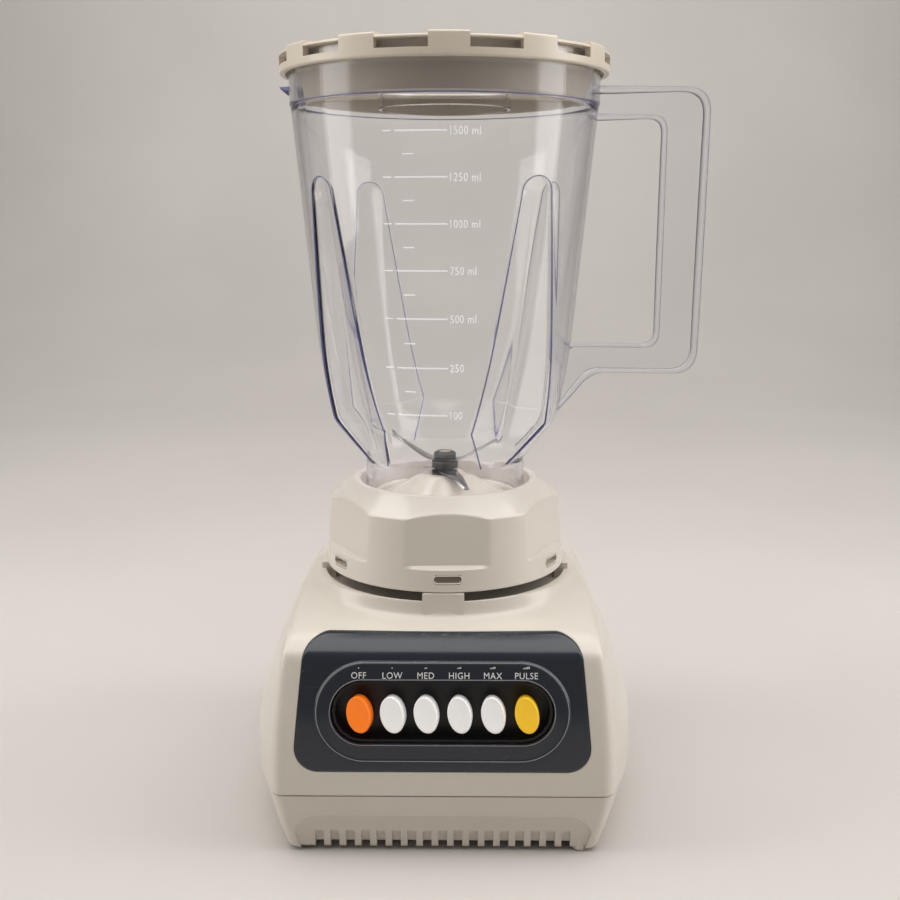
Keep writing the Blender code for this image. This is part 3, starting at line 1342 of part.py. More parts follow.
# ---------------------------------------------------------------- lid and cap
def lid(cream, axis):
    """Lid with a plug skirt, a sunken deck and a ring of windows around the jug's rim."""
    stop = RIM_Z + GAP
    inside = LID_RADIUS - LID_RING_WALL
    skirt_foot = LID_TOP_Z - LID_SKIRT_DEPTH
    edge = LID_RIM_COVER * 0.6
    profile = [
        (inside, LID_RING_Z),
        (LID_RADIUS, LID_RING_Z),
        (LID_RADIUS, LID_TOP_Z - edge),
        (LID_RADIUS - edge, LID_TOP_Z),
        (LID_DECK_RADIUS + LID_SKIRT_WALL, LID_TOP_Z),
        (LID_DECK_RADIUS, LID_DECK_Z),
        (LID_OPENING, LID_DECK_Z),
        (LID_OPENING, LID_DECK_Z - LID_DECK_THICK),
        (LID_SKIRT_TOP - LID_SKIRT_WALL, LID_DECK_Z - LID_DECK_THICK),
        (LID_SKIRT_BOTTOM - LID_SKIRT_WALL, skirt_foot),
        (LID_SKIRT_BOTTOM, skirt_foot),
        (LID_SKIRT_TOP, LID_RING_Z),
        (LID_SKIRT_TOP, stop),
        (inside, stop),
    ]
    piece = make("lid", *turned(profile, FINE, closed=True), cream, axis)
    windows, steps = [], []
    for k in range(WINDOW_COUNT):
        angle = WINDOW_TURN + 2 * math.pi * k / WINDOW_COUNT
        low, high = LID_RING_Z + WINDOW_SILL, LID_TOP_Z - SEGMENT_STEP - WINDOW_HEAD
        windows.append(sector(angle, inside - LID_RING_WALL * 0.4, LID_RADIUS * 1.1, low, high))
        step = LID_TOP_Z - SEGMENT_STEP
        steps.append(sector(angle, LID_SKIRT_TOP, LID_RADIUS * 1.1, step, LID_TOP_Z + SEGMENT_STEP))
    boolean(piece, helper("lid_windows", *many(windows), axis))
    boolean(piece, helper("lid_steps", *many(steps), axis))
    return piece


def sector(angle, inner, outer, low, high):
    """A block that spans one window's angle between two radii."""
    span = WINDOW_HALF_ANGLE
    outline = [(inner, angle - span), (outer, angle - span), (outer, angle + span), (inner, angle + span)]
    return prism([(r * math.cos(a), r * math.sin(a)) for r, a in outline], low, high)


def filler_cap(clear, axis):
    """Clear measuring cap that closes the lid's opening, with its cup hanging into the jug."""
    flange = LID_DECK_Z + GAP
    top = flange + CAP_FLANGE_THICK
    foot = flange - CAP_DEPTH
    rings = [
        circle(CAP_RADIUS - CAP_WALL, foot, ROUND),
        circle(CAP_RADIUS, foot, ROUND),
        circle(CAP_RADIUS, flange, ROUND),
        circle(CAP_FLANGE, flange, ROUND),
        circle(CAP_FLANGE, top, ROUND),
    ]
    piece = make("filler_cap", *stacked(rings), clear, axis)
    hollow = CAP_RADIUS - CAP_WALL
    cavity = turned([(hollow, foot - CAP_DEPTH), (hollow, flange + GAP)], ROUND)
    boolean(piece, helper("cap_hollow", *cavity, axis))
    grip = box(
        (-CAP_GRIP_HALF, -CAP_GRIP_THICK / 2, top - CAP_FLANGE_THICK / 2),
        (CAP_GRIP_HALF, CAP_GRIP_THICK / 2, top + CAP_GRIP_RISE),
    )
    boolean(piece, helper("cap_grip", *grip, axis), "UNION")
    return piece


# ---------------------------------------------------------------- assembly
def empty(name, location):
    """A named place that pieces hang on."""
    made = bpy.data.objects.new(name, None)
    made.location = location
    bpy.context.scene.collection.objects.link(made)
    return made


def build():
    """Clears the scene and models the blender."""
    for old in list(bpy.data.objects):
        bpy.data.objects.remove(old, do_unlink=True)
    axis = empty("drive_axis", (AXIS_X, 0.0, 0.0))
    face_frame = empty("panel_frame", (0.0, -face_depth(BUTTON_ROW_Z), BUTTON_ROW_Z))
    face_frame.parent = axis
    face_frame.rotation_euler = (math.pi / 2 - FACE_TILT, 0.0, 0.0)
    bpy.context.view_layer.update()

    lower_housing(material("lower_cream", (0.79, 0.72, 0.62), 0.35), axis)
    upper_housing(material("upper_cream", (0.79, 0.72, 0.62), 0.32), axis, face_frame)
    control_panel(material("slate_panel", (0.045, 0.055, 0.07), 0.25), axis, face_frame)
    button_well(material("well_black", (0.01, 0.01, 0.012), 0.5), face_frame)
    for index, (name, color) in enumerate(BUTTONS):
        push_button(index, name, material(name + "_finish", color, 0.4), face_frame)
    switch_bank(material("switch_body", (0.05, 0.05, 0.05), 0.6), face_frame)
    feet(material("foot_cream", (0.75, 0.68, 0.58), 0.7), axis)
    housing_screws(material("screw_steel", (0.6, 0.6, 0.6), 0.35, 1.0), axis)
    cord_gland(material("gland_black", (0.03, 0.03, 0.03), 0.6), axis)

    steel = material("motor_steel", (0.45, 0.46, 0.48), 0.4, 1.0)
    copper = material("copper", (0.72, 0.35, 0.16), 0.35, 1.0)
    brass = material("brass", (0.75, 0.58, 0.3), 0.35, 1.0)
    black = material("fan_black", (0.02, 0.02, 0.02), 0.5)
    mount = material("mount_rubber", (0.03, 0.03, 0.03), 0.8)
    plain = material("bracket_zinc", (0.62, 0.63, 0.66), 0.4, 1.0)
    motor(axis, steel, copper, brass, black, mount, plain)

    blades = material("blade_steel", (0.55, 0.56, 0.58), 0.25, 1.0)
    dark = material("dark_steel", (0.2, 0.2, 0.21), 0.35, 1.0)
    bronze = material("bush_bronze", (0.6, 0.45, 0.25), 0.4, 1.0)
    seal = material("seal_rubber", (0.6, 0.58, 0.55), 0.7)
    blade_unit(axis, material("blade_base_cream", (0.78, 0.71, 0.61), 0.35), blades, dark, bronze, seal)
    collar(material("collar_cream", (0.79, 0.72, 0.62), 0.28), axis)
    jug(material("jug_clear", (0.85, 0.87, 0.95), 0.08, alpha=0.35), axis)
    lid(material("lid_cream", (0.78, 0.71, 0.61), 0.35), axis)
    filler_cap(material("cap_clear", (0.88, 0.89, 0.95), 0.08, alpha=0.35), axis)


build()
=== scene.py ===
import json
import logging
import math
from dataclasses import dataclass, field
from enum import Enum
from typing import Iterable, Sequence

import bmesh
import bpy
import numpy as np
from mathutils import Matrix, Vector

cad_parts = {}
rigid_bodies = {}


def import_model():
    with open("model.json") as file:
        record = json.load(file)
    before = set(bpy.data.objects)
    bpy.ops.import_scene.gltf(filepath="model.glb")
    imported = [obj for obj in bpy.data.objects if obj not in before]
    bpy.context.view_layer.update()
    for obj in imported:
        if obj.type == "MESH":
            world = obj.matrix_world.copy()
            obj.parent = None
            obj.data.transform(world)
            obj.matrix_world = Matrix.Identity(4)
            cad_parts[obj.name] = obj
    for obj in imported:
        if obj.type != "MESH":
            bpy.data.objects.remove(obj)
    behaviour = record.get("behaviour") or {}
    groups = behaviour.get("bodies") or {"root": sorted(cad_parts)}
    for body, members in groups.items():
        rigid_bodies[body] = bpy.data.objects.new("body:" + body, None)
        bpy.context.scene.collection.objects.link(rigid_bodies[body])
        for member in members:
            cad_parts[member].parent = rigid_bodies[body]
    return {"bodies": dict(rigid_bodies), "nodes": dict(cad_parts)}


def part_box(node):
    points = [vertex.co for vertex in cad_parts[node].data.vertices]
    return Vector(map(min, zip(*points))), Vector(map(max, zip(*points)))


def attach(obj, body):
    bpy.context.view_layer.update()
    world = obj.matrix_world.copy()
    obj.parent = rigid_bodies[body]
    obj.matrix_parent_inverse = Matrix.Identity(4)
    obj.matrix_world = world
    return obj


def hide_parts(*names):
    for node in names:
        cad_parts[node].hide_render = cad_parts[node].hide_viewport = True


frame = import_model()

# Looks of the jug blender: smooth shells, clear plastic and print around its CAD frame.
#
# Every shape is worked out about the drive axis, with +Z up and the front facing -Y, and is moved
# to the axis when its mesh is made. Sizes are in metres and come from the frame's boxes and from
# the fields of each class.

Array = np.ndarray
MM = 0.001
DOUBLE, SLIVER = 2e-6, 1e-6
BEAD_SIDES = 8
CAPITAL_SHARE = 0.69  # height of a capital against the size of the lettering
LOG = logging.getLogger("jug_blender")


# ---------------------------------------------------------------- numbers and curves
def smooth_through(at: Array, places: Sequence[float], values: Sequence[float]) -> Array:
    """Value of a smooth curve through stations, which rises or falls only where they do.

    Each stretch is a cubic whose end slopes are the harmonic means of the slopes beside them.

    Args:
        at: where the curve is read.
        places: the stations, rising.
        values: the curve's value at each station.

    Returns:
        The values at those places.
    """
    x, y = np.asarray(places, float), np.asarray(values, float)
    step = np.diff(x)
    slope = np.diff(y) / step
    end = np.concatenate([[slope[0]], np.zeros(len(slope) - 1), [slope[-1]]])
    same = slope[:-1] * slope[1:] > 0
    first, second = 2 * step[1:] + step[:-1], step[1:] + 2 * step[:-1]
    safe = np.where(same, slope[:-1], 1.0), np.where(same, slope[1:], 1.0)
    mean = (first + second) / (first / safe[0] + second / safe[1])
    end[1:-1] = np.where(same, mean, 0.0)
    at = np.clip(at, x[0], x[-1])
    k = np.clip(np.searchsorted(x, at, side="right") - 1, 0, len(step) - 1)
    t = (at - x[k]) / step[k]
    rise = (1 + 2 * t) * (1 - t) ** 2 * y[k] + t * t * (3 - 2 * t) * y[k + 1]
    return rise + step[k] * t * (1 - t) * ((1 - t) * end[k] - t * end[k + 1])


def soft_min(a: Array, b: Array, reach: float) -> Array:
    """The smaller of two values, with the corner between them rounded over a reach."""
    blend = np.clip(reach - np.abs(a - b), 0, None) / reach
    return np.minimum(a, b) - blend * blend * reach / 4


def ease(value: Array, low: float, high: float) -> Array:
    """0 below low, 1 above high, and an S-shaped rise between them."""
    t = np.clip((value - low) / (high - low), 0, 1)
    return t * t * (3 - 2 * t)


def filleted(corners: Iterable[tuple[float, float, float]], steps: int = 5,
             closed: bool = True) -> Array:
    """Outline through corners, each rounded by a quadratic curve.

    The curve of a corner is (1-w)^2 A + 2w(1-w) C + w^2 B, where A and B lie on its two sides
    at the corner's cut and C is the corner.

    Args:
        corners: (x, y, cut) of each corner, and a cut of 0 keeps the corner.
        steps: points on each rounded corner.
        closed: whether the last corner joins the first.

    Returns:
        The outline's points, one row each.
    """
    listed = list(corners)
    spots = np.array([c[:2] for c in listed], float)
    outline = []
    for i, (_, _, cut) in enumerate(listed):
        here = spots[i]
        if cut <= 0 or (not closed and i in (0, len(listed) - 1)):
            outline.append(here[None])
            continue
        sides = [spots[i - 1] - here, spots[(i + 1) % len(spots)] - here]
        a, b = (here + s / np.linalg.norm(s) * min(cut, 0.49 * np.linalg.norm(s)) for s in sides)
        w = np.linspace(0, 1, steps)[:, None]
        outline.append((1 - w) ** 2 * a + 2 * w * (1 - w) * here + w * w * b)
    return np.concatenate(outline)


def supported(profile: Array, reach: float, closed: bool = True) -> Array:
    """The profile with two more points on each long side, a reach in from its ends.

    They hold the flat sides flat where the shading is smooth.

    Args:
        profile: the profile's points.
        reach: how far in from each end a point is put.
        closed: whether the last point joins the first.

    Returns:
        The profile with more points.
    """
    after = np.roll(profile, -1, axis=0) if closed else profile[1:]
    before = profile if closed else profile[:-1]
    length = np.linalg.norm(after - before, axis=1)
    long = length > 3 * reach
    share = np.where(long, reach / np.maximum(length, 1e-9), 0.0)[:, None]
    three = np.stack([before, before + (after - before) * share, after - (after - before) * share],
                     axis=1)
    keep = np.stack([np.ones(len(long), bool), long, long], axis=1)
    points = three[keep]
    return points if closed else np.concatenate([points, profile[-1:]])


def turned(profile: Array, angles: Array) -> Array:
    """Grid of a profile of (radius, height) points turned about Z through the angles.

    Args:
        profile: (radius, height) of each point.
        angles: angle of each column.

    Returns:
        Points, rows along the profile by columns round the axis.
    """
    radius, height = profile[:, 0, None], profile[:, 1, None]
    flat = np.ones_like(angles)[None]
    return np.stack([radius * np.cos(angles), radius * np.sin(angles), height * flat], axis=-1)


def swung(x: Array, y: Array, angle: float) -> tuple[Array, Array]:
    """Places (x, y) turned about the origin by an angle."""
    c, s = math.cos(angle), math.sin(angle)
    return x * c - y * s, x * s + y * c


def whole_turn(count: int) -> Array:
    """Evenly spaced angles of one turn."""
    return np.linspace(0, 2 * np.pi, count, endpoint=False)


def from_middle(angles: Array, pitch: float) -> Array:
    """How far each angle is from the middle of the nearest of a ring of flats."""
    return (angles + pitch / 2) % pitch - pitch / 2


@dataclass(frozen=True)
class RoundedOutline:
    """A convex outline: the points at one radius around a polygon, which is its skeleton."""

    corners: tuple[tuple[float, float], ...]
    radius: float
    arc_steps: int = 40
    side_steps: int = 60

    def trace(self) -> tuple[Array, Array]:
        """Skeleton points and outward unit normals, anticlockwise: arcs, then straight sides.

        Returns:
            Two arrays of rows (x, y). The outline grown by g is skeleton + (radius + g) normal.
        """
        spots = np.array(self.corners, float)
        skeleton, normals = [], []
        for i, here in enumerate(spots):
            to, since = spots[(i + 1) % len(spots)] - here, here - spots[i - 1]
            first = math.atan2(-since[0], since[1])
            sweep = (math.atan2(-to[0], to[1]) - first) % (2 * math.pi)
            turn = first + sweep * np.linspace(0, 1, self.arc_steps)
            around = np.stack([np.cos(turn), np.sin(turn)], axis=1)
            share = np.linspace(0, 1, self.side_steps)[1:-1, None]
            skeleton += [np.repeat(here[None], self.arc_steps, axis=0), here + to * share]
            normals += [around, np.repeat(around[-1:], self.side_steps - 2, axis=0)]
        return np.concatenate(skeleton), np.concatenate(normals)

    def grown(self, grow: float, picked: Array | None = None) -> Array:
        """The outline grown outwards, at all its points or at the picked ones.

        Args:
            grow: how far the outline is grown.
            picked: indices of the points to keep, or all of them.

        Returns:
            Rows of (x, y).
        """
        skeleton, normals = self.trace()
        line = skeleton + (self.radius + grow) * normals
        return line if picked is None else line[picked]

    def nearest(self, points: Array, grow: float = 0.0) -> Array:
        """Indices of the outline's points nearest to the given ones."""
        line = self.grown(grow)
        return np.linalg.norm(points[:, None] - line[None], axis=2).argmin(axis=1)

    def distance(self, x: Array, y: Array) -> Array:
        """Signed distance of points to the outline of a slot with two skeleton corners.

        Args:
            x: places across.
            y: places up.

        Returns:
            Distance to the outline, negative inside it.
        """
        (x0, y0), (x1, y1) = self.corners
        wide, tall = x1 - x0, y1 - y0
        along = np.clip(((x - x0) * wide + (y - y0) * tall) / (wide**2 + tall**2), 0, 1)
        return np.hypot(x - x0 - along * wide, y - y0 - along * tall) - self.radius


# ---------------------------------------------------------------- meshes
@dataclass
class Skin:
    """Points and faces of one piece, gathered from grids, bridges and caps.

    A face is a row of four indices, and a triangle's fourth is -1.
    """

    points: list[Array] = field(default_factory=list)
    faces: list[Array] = field(default_factory=list)
    count: int = 0

    def add(self, points: Array) -> Array:
        """Adds a grid of points and returns their indices in the same shape.

        Args:
            points: the grid of points.

        Returns:
            Their indices, in the shape of the grid.
        """
        flat = points.reshape(-1, 3)
        index = self.count + np.arange(len(flat)).reshape(points.shape[:-1])
        self.points.append(flat)
        self.count += len(flat)
        return index

    def join(self, index: Array, round_columns: bool, round_rows: bool,
             keep: Array | None = None) -> None:
        """Quads between neighbours on a grid of indices.

        Args:
            index: indices, rows by columns.
            round_columns: whether the last column joins the first.
            round_rows: whether the last row joins the first.
            keep: mask of the cells that get a face.
        """
        right = np.roll(index, -1, axis=1)
        up, both = np.roll(index, -1, axis=0), np.roll(right, -1, axis=0)
        quads = np.stack([index, right, both, up], axis=-1)
        rows = len(index) if round_rows else len(index) - 1
        columns = index.shape[1] if round_columns else index.shape[1] - 1
        quads = quads[:rows, :columns]
        chosen = quads.reshape(-1, 4) if keep is None else quads[keep[:rows, :columns]]
        self.faces.append(chosen)

    def grid(self, points: Array, round_columns: bool = True, round_rows: bool = False,
             keep: Array | None = None) -> Array:
        """Adds a grid of points with its quads and returns its indices.

        Args:
            points: the grid of points.
            round_columns: whether the last column joins the first.
            round_rows: whether the last row joins the first.
            keep: mask of the cells that get a face.

        Returns:
            The indices of the points.
        """
        index = self.add(points)
        self.join(index, round_columns, round_rows, keep)
        return index

    def cap(self, loop: Array) -> None:
        """Closes a loop of indices with triangles to its middle.

        Args:
            loop: indices of the points round the opening.
        """
        flat = np.concatenate(self.points)
        middle = self.add(flat[loop].mean(axis=0)[None])[0]
        after = np.roll(loop, -1)
        self.faces.append(np.stack([loop, after, np.full(len(loop), middle), np.full(len(loop), -1)],
                                   axis=1))

    def closed_rows(self, points: Array) -> Array:
        """A grid round its columns, with both ends capped.

        Args:
            points: the grid of points.

        Returns:
            The indices of the points.
        """
        index = self.grid(points)
        self.cap(index[0])
        self.cap(index[-1])
        return index

    def mesh(self, name: str, smooth_angle: float = 32.0) -> bpy.types.Mesh:
        """The mesh, with its doubles merged and its faces pointing outwards.

        Args:
            name: the mesh's name.
            smooth_angle: edges sharper than this stay sharp, in degrees.

        Returns:
            The mesh, moved to the drive axis.
        """
        flat = np.concatenate(self.points) + np.array([AXIS.x, AXIS.y, 0.0])
        rows = np.concatenate(self.faces).tolist()
        listed = [tuple(f) if f[3] >= 0 else tuple(f[:3]) for f in rows]
        made = bpy.data.meshes.new(name)
        made.from_pydata(flat.tolist(), [], listed)
        work = bmesh.new()
        work.from_mesh(made)
        bmesh.ops.remove_doubles(work, verts=work.verts, dist=DOUBLE)
        bmesh.ops.dissolve_degenerate(work, edges=work.edges, dist=SLIVER)
        bmesh.ops.recalc_face_normals(work, faces=work.faces)
        work.to_mesh(made)
        work.free()
        made.shade_smooth()
        made.set_sharp_from_angle(angle=math.radians(smooth_angle))
        return made


@dataclass(frozen=True)
class Axis:
    """Where the drive axis stands."""

    x: float
    y: float


def find_axis() -> Axis:
    """The drive axis, from the middle of the blade base's box."""
    low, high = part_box("blade_base")
    return Axis((low.x + high.x) / 2, (low.y + high.y) / 2)


def lowest(node: str) -> Array:
    """Lowest corner of a CAD node, about the drive axis."""
    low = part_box(node)[0]
    return np.array([low.x - AXIS.x, low.y - AXIS.y, low.z])


def highest(node: str) -> Array:
    """Highest corner of a CAD node, about the drive axis."""
    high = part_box(node)[1]
    return np.array([high.x - AXIS.x, high.y - AXIS.y, high.z])


def place(name: str, mesh: bpy.types.Mesh, finish: bpy.types.Material, body: str,
          stands_for: Sequence[str] = ()) -> bpy.types.Object:
    """Puts a finished mesh in the scene on its body.

    Args:
        name: the piece's name.
        mesh: its mesh, in place.
        finish: its material.
        body: the CAD body that it rides on.
        stands_for: the CAD nodes that it stands for.

    Returns:
        The piece's object.
    """
    mesh.materials.clear()
    mesh.materials.append(finish)
    made = bpy.data.objects.new(name, mesh)
    bpy.context.scene.collection.objects.link(made)
    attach(made, body)
    if stands_for:
        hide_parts(*stands_for)
    LOG.info("%s: %d faces on %s", name, len(mesh.polygons), body)
    return made


def closed_piece(name: str, points: Array, finish: bpy.types.Material, body: str,
                 stands_for: Sequence[str] = (), angle: float = 32.0,
                 capped: bool = False) -> bpy.types.Object:
    """Places a piece whose surface is one grid of points that closes round its columns.

    Args:
        name: the piece's name.
        points: the grid, about the drive axis.
        finish: its material.
        body: the CAD body that it rides on.
        stands_for: the CAD nodes that it stands for.
        angle: edges sharper than this stay sharp, in degrees.
        capped: whether the ends are capped, or else the last row joins the first.

    Returns:
        The piece's object.
    """
    skin = Skin()
    if capped:
        skin.closed_rows(points)
    else:
        skin.grid(points, round_rows=True)
    return place(name, skin.mesh(name, angle), finish, body, stands_for)


def bevelled(piece: bpy.types.Object, width: float, angle: float = 40.0, segments: int = 2) -> None:
    """Rounds a piece's sharp edges.

    Args:
        piece: the piece.
        width: width of the rounding.
        angle: edges sharper than this are rounded, in degrees.
        segments: faces across the rounding.
    """
    step = piece.modifiers.new("edge", "BEVEL")
    step.width = width
    step.segments = segments
    step.limit_method = "ANGLE"
    step.angle_limit = math.radians(angle)
    step.use_clamp_overlap = True
    step.harden_normals = False


def thickened(piece: bpy.types.Object, wall: float) -> None:
    """Gives an open skin its wall, inwards.

    Args:
        piece: the piece.
        wall: thickness of the wall.
    """
    step = piece.modifiers.new("wall", "SOLIDIFY")
    step.thickness = wall
    step.offset = -1.0
    step.use_even_offset = False


def carried_bead(name: str, path: Array, thick: Array, finish: bpy.types.Material, body: str,
                 round_path: bool) -> None:
    """A circle carried along a path on a turned wall, square to the path's direction.

    Args:
        name: the piece's name.
        path: the path's points, about the drive axis.
        thick: the circle's radius at each point.
        finish: the material.
        body: the CAD body that it rides on.
        round_path: whether the path closes.
    """
    if round_path:
        along = np.roll(path, -1, axis=0) - np.roll(path, 1, axis=0)
    else:
        along = np.gradient(path, axis=0)
    along /= np.linalg.norm(along, axis=1, keepdims=True)
    away = path * [1, 1, 0]
    away /= np.linalg.norm(away, axis=1, keepdims=True)
    side = np.cross(along, away)
    side /= np.linalg.norm(side, axis=1, keepdims=True)
    turn = whole_turn(BEAD_SIDES)[None, :, None]
    ring = np.cos(turn) * np.cross(side, along)[:, None] + np.sin(turn) * side[:, None]
    points = path[:, None] + thick[:, None, None] * ring
    closed_piece(name, points, finish, body, (), 60, capped=not round_path)


# ---------------------------------------------------------------- node groups
def new_group(name: str, inputs: Sequence[tuple[str, str, object]],
              outputs: Sequence[tuple[str, str]]) -> tuple:
    """An empty shader group with its sockets.

    Args:
        name: the group's name.
        inputs: (name, socket type, default) of each input.
        outputs: (name, socket type) of each output.

    Returns:
        The group, its input node and its output node.
    """
    group = bpy.data.node_groups.new(name, "ShaderNodeTree")
    for label, kind, default in inputs:
        made = group.interface.new_socket(name=label, in_out="INPUT", socket_type=kind)
        made.default_value = default
    for label, kind in outputs:
        group.interface.new_socket(name=label, in_out="OUTPUT", socket_type=kind)
    return group, group.nodes.new("NodeGroupInput"), group.nodes.new("NodeGroupOutput")


@dataclass
class Tree:
    """Short ways to add and link nodes in one tree."""

    tree: bpy.types.NodeTree

    def node(self, kind: str, inputs: dict[str | int, object] | None = None,
             **settings: object) -> bpy.types.Node:
        """Adds a node, sets its properties, and sets or links its inputs.

        Args:
            kind: the node's type.
            inputs: a value or a socket for each input, by name or number.
            **settings: the node's own properties.

        Returns:
            The node.
        """
        made = self.tree.nodes.new(kind)
        for key, value in settings.items():
            setattr(made, key, value)
        for key, value in (inputs or {}).items():
            if isinstance(value, bpy.types.NodeSocket):
                self.tree.links.new(value, made.inputs[key])
            else:
                made.inputs[key].default_value = value
        return made

    def math(self, operation: str, *values: object, clamp: bool = False) -> bpy.types.NodeSocket:
        """The result of a Math node."""
        return self.node("ShaderNodeMath", dict(enumerate(values)), operation=operation,
                         use_clamp=clamp).outputs[0]

    def noise(self, vector: object, scale: object, detail: float,
              rough: float = 0.5) -> bpy.types.NodeSocket:
        """The value of a Noise texture."""
        inputs = {"Vector": vector, "Scale": scale, "Detail": detail, "Roughness": rough}
        return self.node("ShaderNodeTexNoise", inputs).outputs["Fac"]

    def band(self, value: object, low: object, high: object, start: float = 0.0,
             end: float = 1.0) -> bpy.types.NodeSocket:
        """A value mapped from one range to another, held at its ends."""
        inputs = {"Value": value, "From Min": low, "From Max": high, "To Min": start, "To Max": end}
        return self.node("ShaderNodeMapRange", inputs).outputs["Result"]

    def tint(self, share: object, first: object, second: object) -> bpy.types.NodeSocket:
        """A mix of two colours.

        Args:
            share: share of the second colour.
            first: a colour or a socket.
            second: a colour or a socket.

        Returns:
            The mixed colour.
        """
        made = self.tree.nodes.new("ShaderNodeMix")
        made.data_type = "RGBA"
        for socket, value in ((made.inputs[0], share), (made.inputs[6], first),
                              (made.inputs[7], second)):
            if isinstance(value, bpy.types.NodeSocket):
                self.tree.links.new(value, socket)
            else:
                socket.default_value = value
        return made.outputs[2]


def moulded_group() -> bpy.types.NodeTree:
    """Moulded plastic: slow colour drift, fine grain, scuffs and specks over object space.

    Returns:
        A group that gives Color, Roughness and Height.
    """
    number, colour = "NodeSocketFloat", "NodeSocketColor"
    group, start, end = new_group(
        "moulded_plastic",
        [("Color", colour, (0.8, 0.8, 0.8, 1)), ("Drift", number, 0.06), ("Roughness", number, 0.35),
         ("Spread", number, 0.12), ("Grain", number, 0.3), ("Scuffs", number, 0.3),
         ("Specks", number, 0.3)],
        [("Color", colour), ("Roughness", number), ("Height", number)],
    )
    work = Tree(group)
    place_at = work.node("ShaderNodeTexCoord").outputs["Object"]
    given = start.outputs
    slow = work.noise(place_at, 18.0, 4.0, 0.55)
    fine = work.noise(place_at, 2600.0, 2.0, 0.6)
    smudge = work.noise(place_at, 60.0, 6.0, 0.65)
    darker = work.node("ShaderNodeHueSaturation",
                       {"Value": 0.84, "Saturation": 1.12, "Color": given["Color"]})
    drift = work.math("MULTIPLY", work.band(slow, 0.35, 0.68), given["Drift"])
    toned = work.tint(work.math("MULTIPLY", drift, 4.0, clamp=True), given["Color"], darker.outputs[0])
    dots = work.node("ShaderNodeTexVoronoi", {"Vector": place_at, "Scale": 210.0}, feature="F1")
    rare = work.math("LESS_THAN", dots.outputs["Distance"], work.math("MULTIPLY", smudge, 0.075))
    chance = work.math("GREATER_THAN", work.noise(place_at, 75.0, 1.0), 0.6)
    speck = work.math("MULTIPLY", work.math("MULTIPLY", rare, chance), given["Specks"])
    dirt = work.node("ShaderNodeHueSaturation",
                     {"Value": 0.45, "Saturation": 1.1, "Color": given["Color"]})
    coloured = work.tint(speck, toned, dirt.outputs[0])
    scuff = scratches(work, place_at)
    scuffed = work.math("MULTIPLY", scuff, given["Scuffs"])
    pale = work.node("ShaderNodeHueSaturation",
                     {"Value": 1.2, "Saturation": 0.7, "Color": given["Color"]})
    final = work.tint(work.math("MULTIPLY", scuffed, 0.5), coloured, pale.outputs[0])
    spread = work.math("MULTIPLY", work.math("SUBTRACT", smudge, 0.5), given["Spread"])
    rough = work.math("ADD", work.math("ADD", given["Roughness"], spread),
                      work.math("MULTIPLY", scuffed, 0.12))
    height = work.math("ADD", work.math("MULTIPLY", fine, given["Grain"]),
                       work.math("MULTIPLY", scuffed, -0.6))
    group.links.new(final, end.inputs["Color"])
    group.links.new(work.math("MAXIMUM", rough, 0.04), end.inputs["Roughness"])
    group.links.new(height, end.inputs["Height"])
    return group


def scratches(work: Tree, place_at: bpy.types.NodeSocket) -> bpy.types.NodeSocket:
    """Mask of thin scratches: where two stretched noises pass through their middle value.

    Args:
        work: the tree that gets the nodes.
        place_at: the coordinates.

    Returns:
        The mask, 0 to 1.
    """
    masks = []
    for turn, stretch, seed in ((0.5, (9, 60, 110), 3.1), (-0.9, (70, 12, 90), 8.4)):
        mapped = work.node("ShaderNodeMapping",
                           {"Vector": place_at, "Rotation": (turn, turn / 2, turn), "Scale": stretch,
                            "Location": (seed, seed, 0)})
        wave = work.noise(mapped.outputs[0], 1.4, 2.0, 0.4)
        line = work.math("LESS_THAN", work.math("ABSOLUTE", work.math("SUBTRACT", wave, 0.5)), 0.004)
        masks.append(work.math("MULTIPLY", line,
                               work.band(work.noise(place_at, 32.0 + seed, 2.0), 0.52, 0.62)))
    return work.math("MAXIMUM", *masks)


def machined_group() -> bpy.types.NodeTree:
    """Machined or stamped metal: brushed lines and stains over object space.

    Returns:
        A group that gives Color, Roughness and Height.
    """
    number, colour = "NodeSocketFloat", "NodeSocketColor"
    group, start, end = new_group(
        "machined_metal",
        [("Color", colour, (0.6, 0.6, 0.6, 1)), ("Stain", number, 0.3), ("Roughness", number, 0.3),
         ("Brush", number, 0.5)],
        [("Color", colour), ("Roughness", number), ("Height", number)],
    )
    work = Tree(group)
    place_at = work.node("ShaderNodeTexCoord").outputs["Object"]
    given = start.outputs
    mapped = work.node("ShaderNodeMapping", {"Vector": place_at, "Scale": (60, 60, 2600)})
    lines = work.noise(mapped.outputs[0], 1.0, 3.0)
    patch = work.band(work.noise(place_at, 120.0, 5.0, 0.6), 0.42, 0.7)
    dull = work.node("ShaderNodeHueSaturation", {"Value": 0.5, "Color": given["Color"]})
    toned = work.tint(work.math("MULTIPLY", patch, given["Stain"]), given["Color"], dull.outputs[0])
    rough = work.math("ADD", given["Roughness"],
                      work.math("MULTIPLY", work.math("SUBTRACT", lines, 0.4), given["Brush"]))
    group.links.new(toned, end.inputs["Color"])
    group.links.new(work.math("MAXIMUM", rough, 0.05), end.inputs["Roughness"])
    group.links.new(work.math("MULTIPLY", lines, given["Brush"]), end.inputs["Height"])
    return group


# ---------------------------------------------------------------- finishes
def new_material(name: str) -> tuple[bpy.types.Material, Tree, bpy.types.Node]:
    """A material, its tree and its Principled shader.

    Args:
        name: the material's name.

    Returns:
        The material, its tree and its shader.
    """
    made = bpy.data.materials.new(name)
    made.use_nodes = True
    return made, Tree(made.node_tree), made.node_tree.nodes["Principled BSDF"]


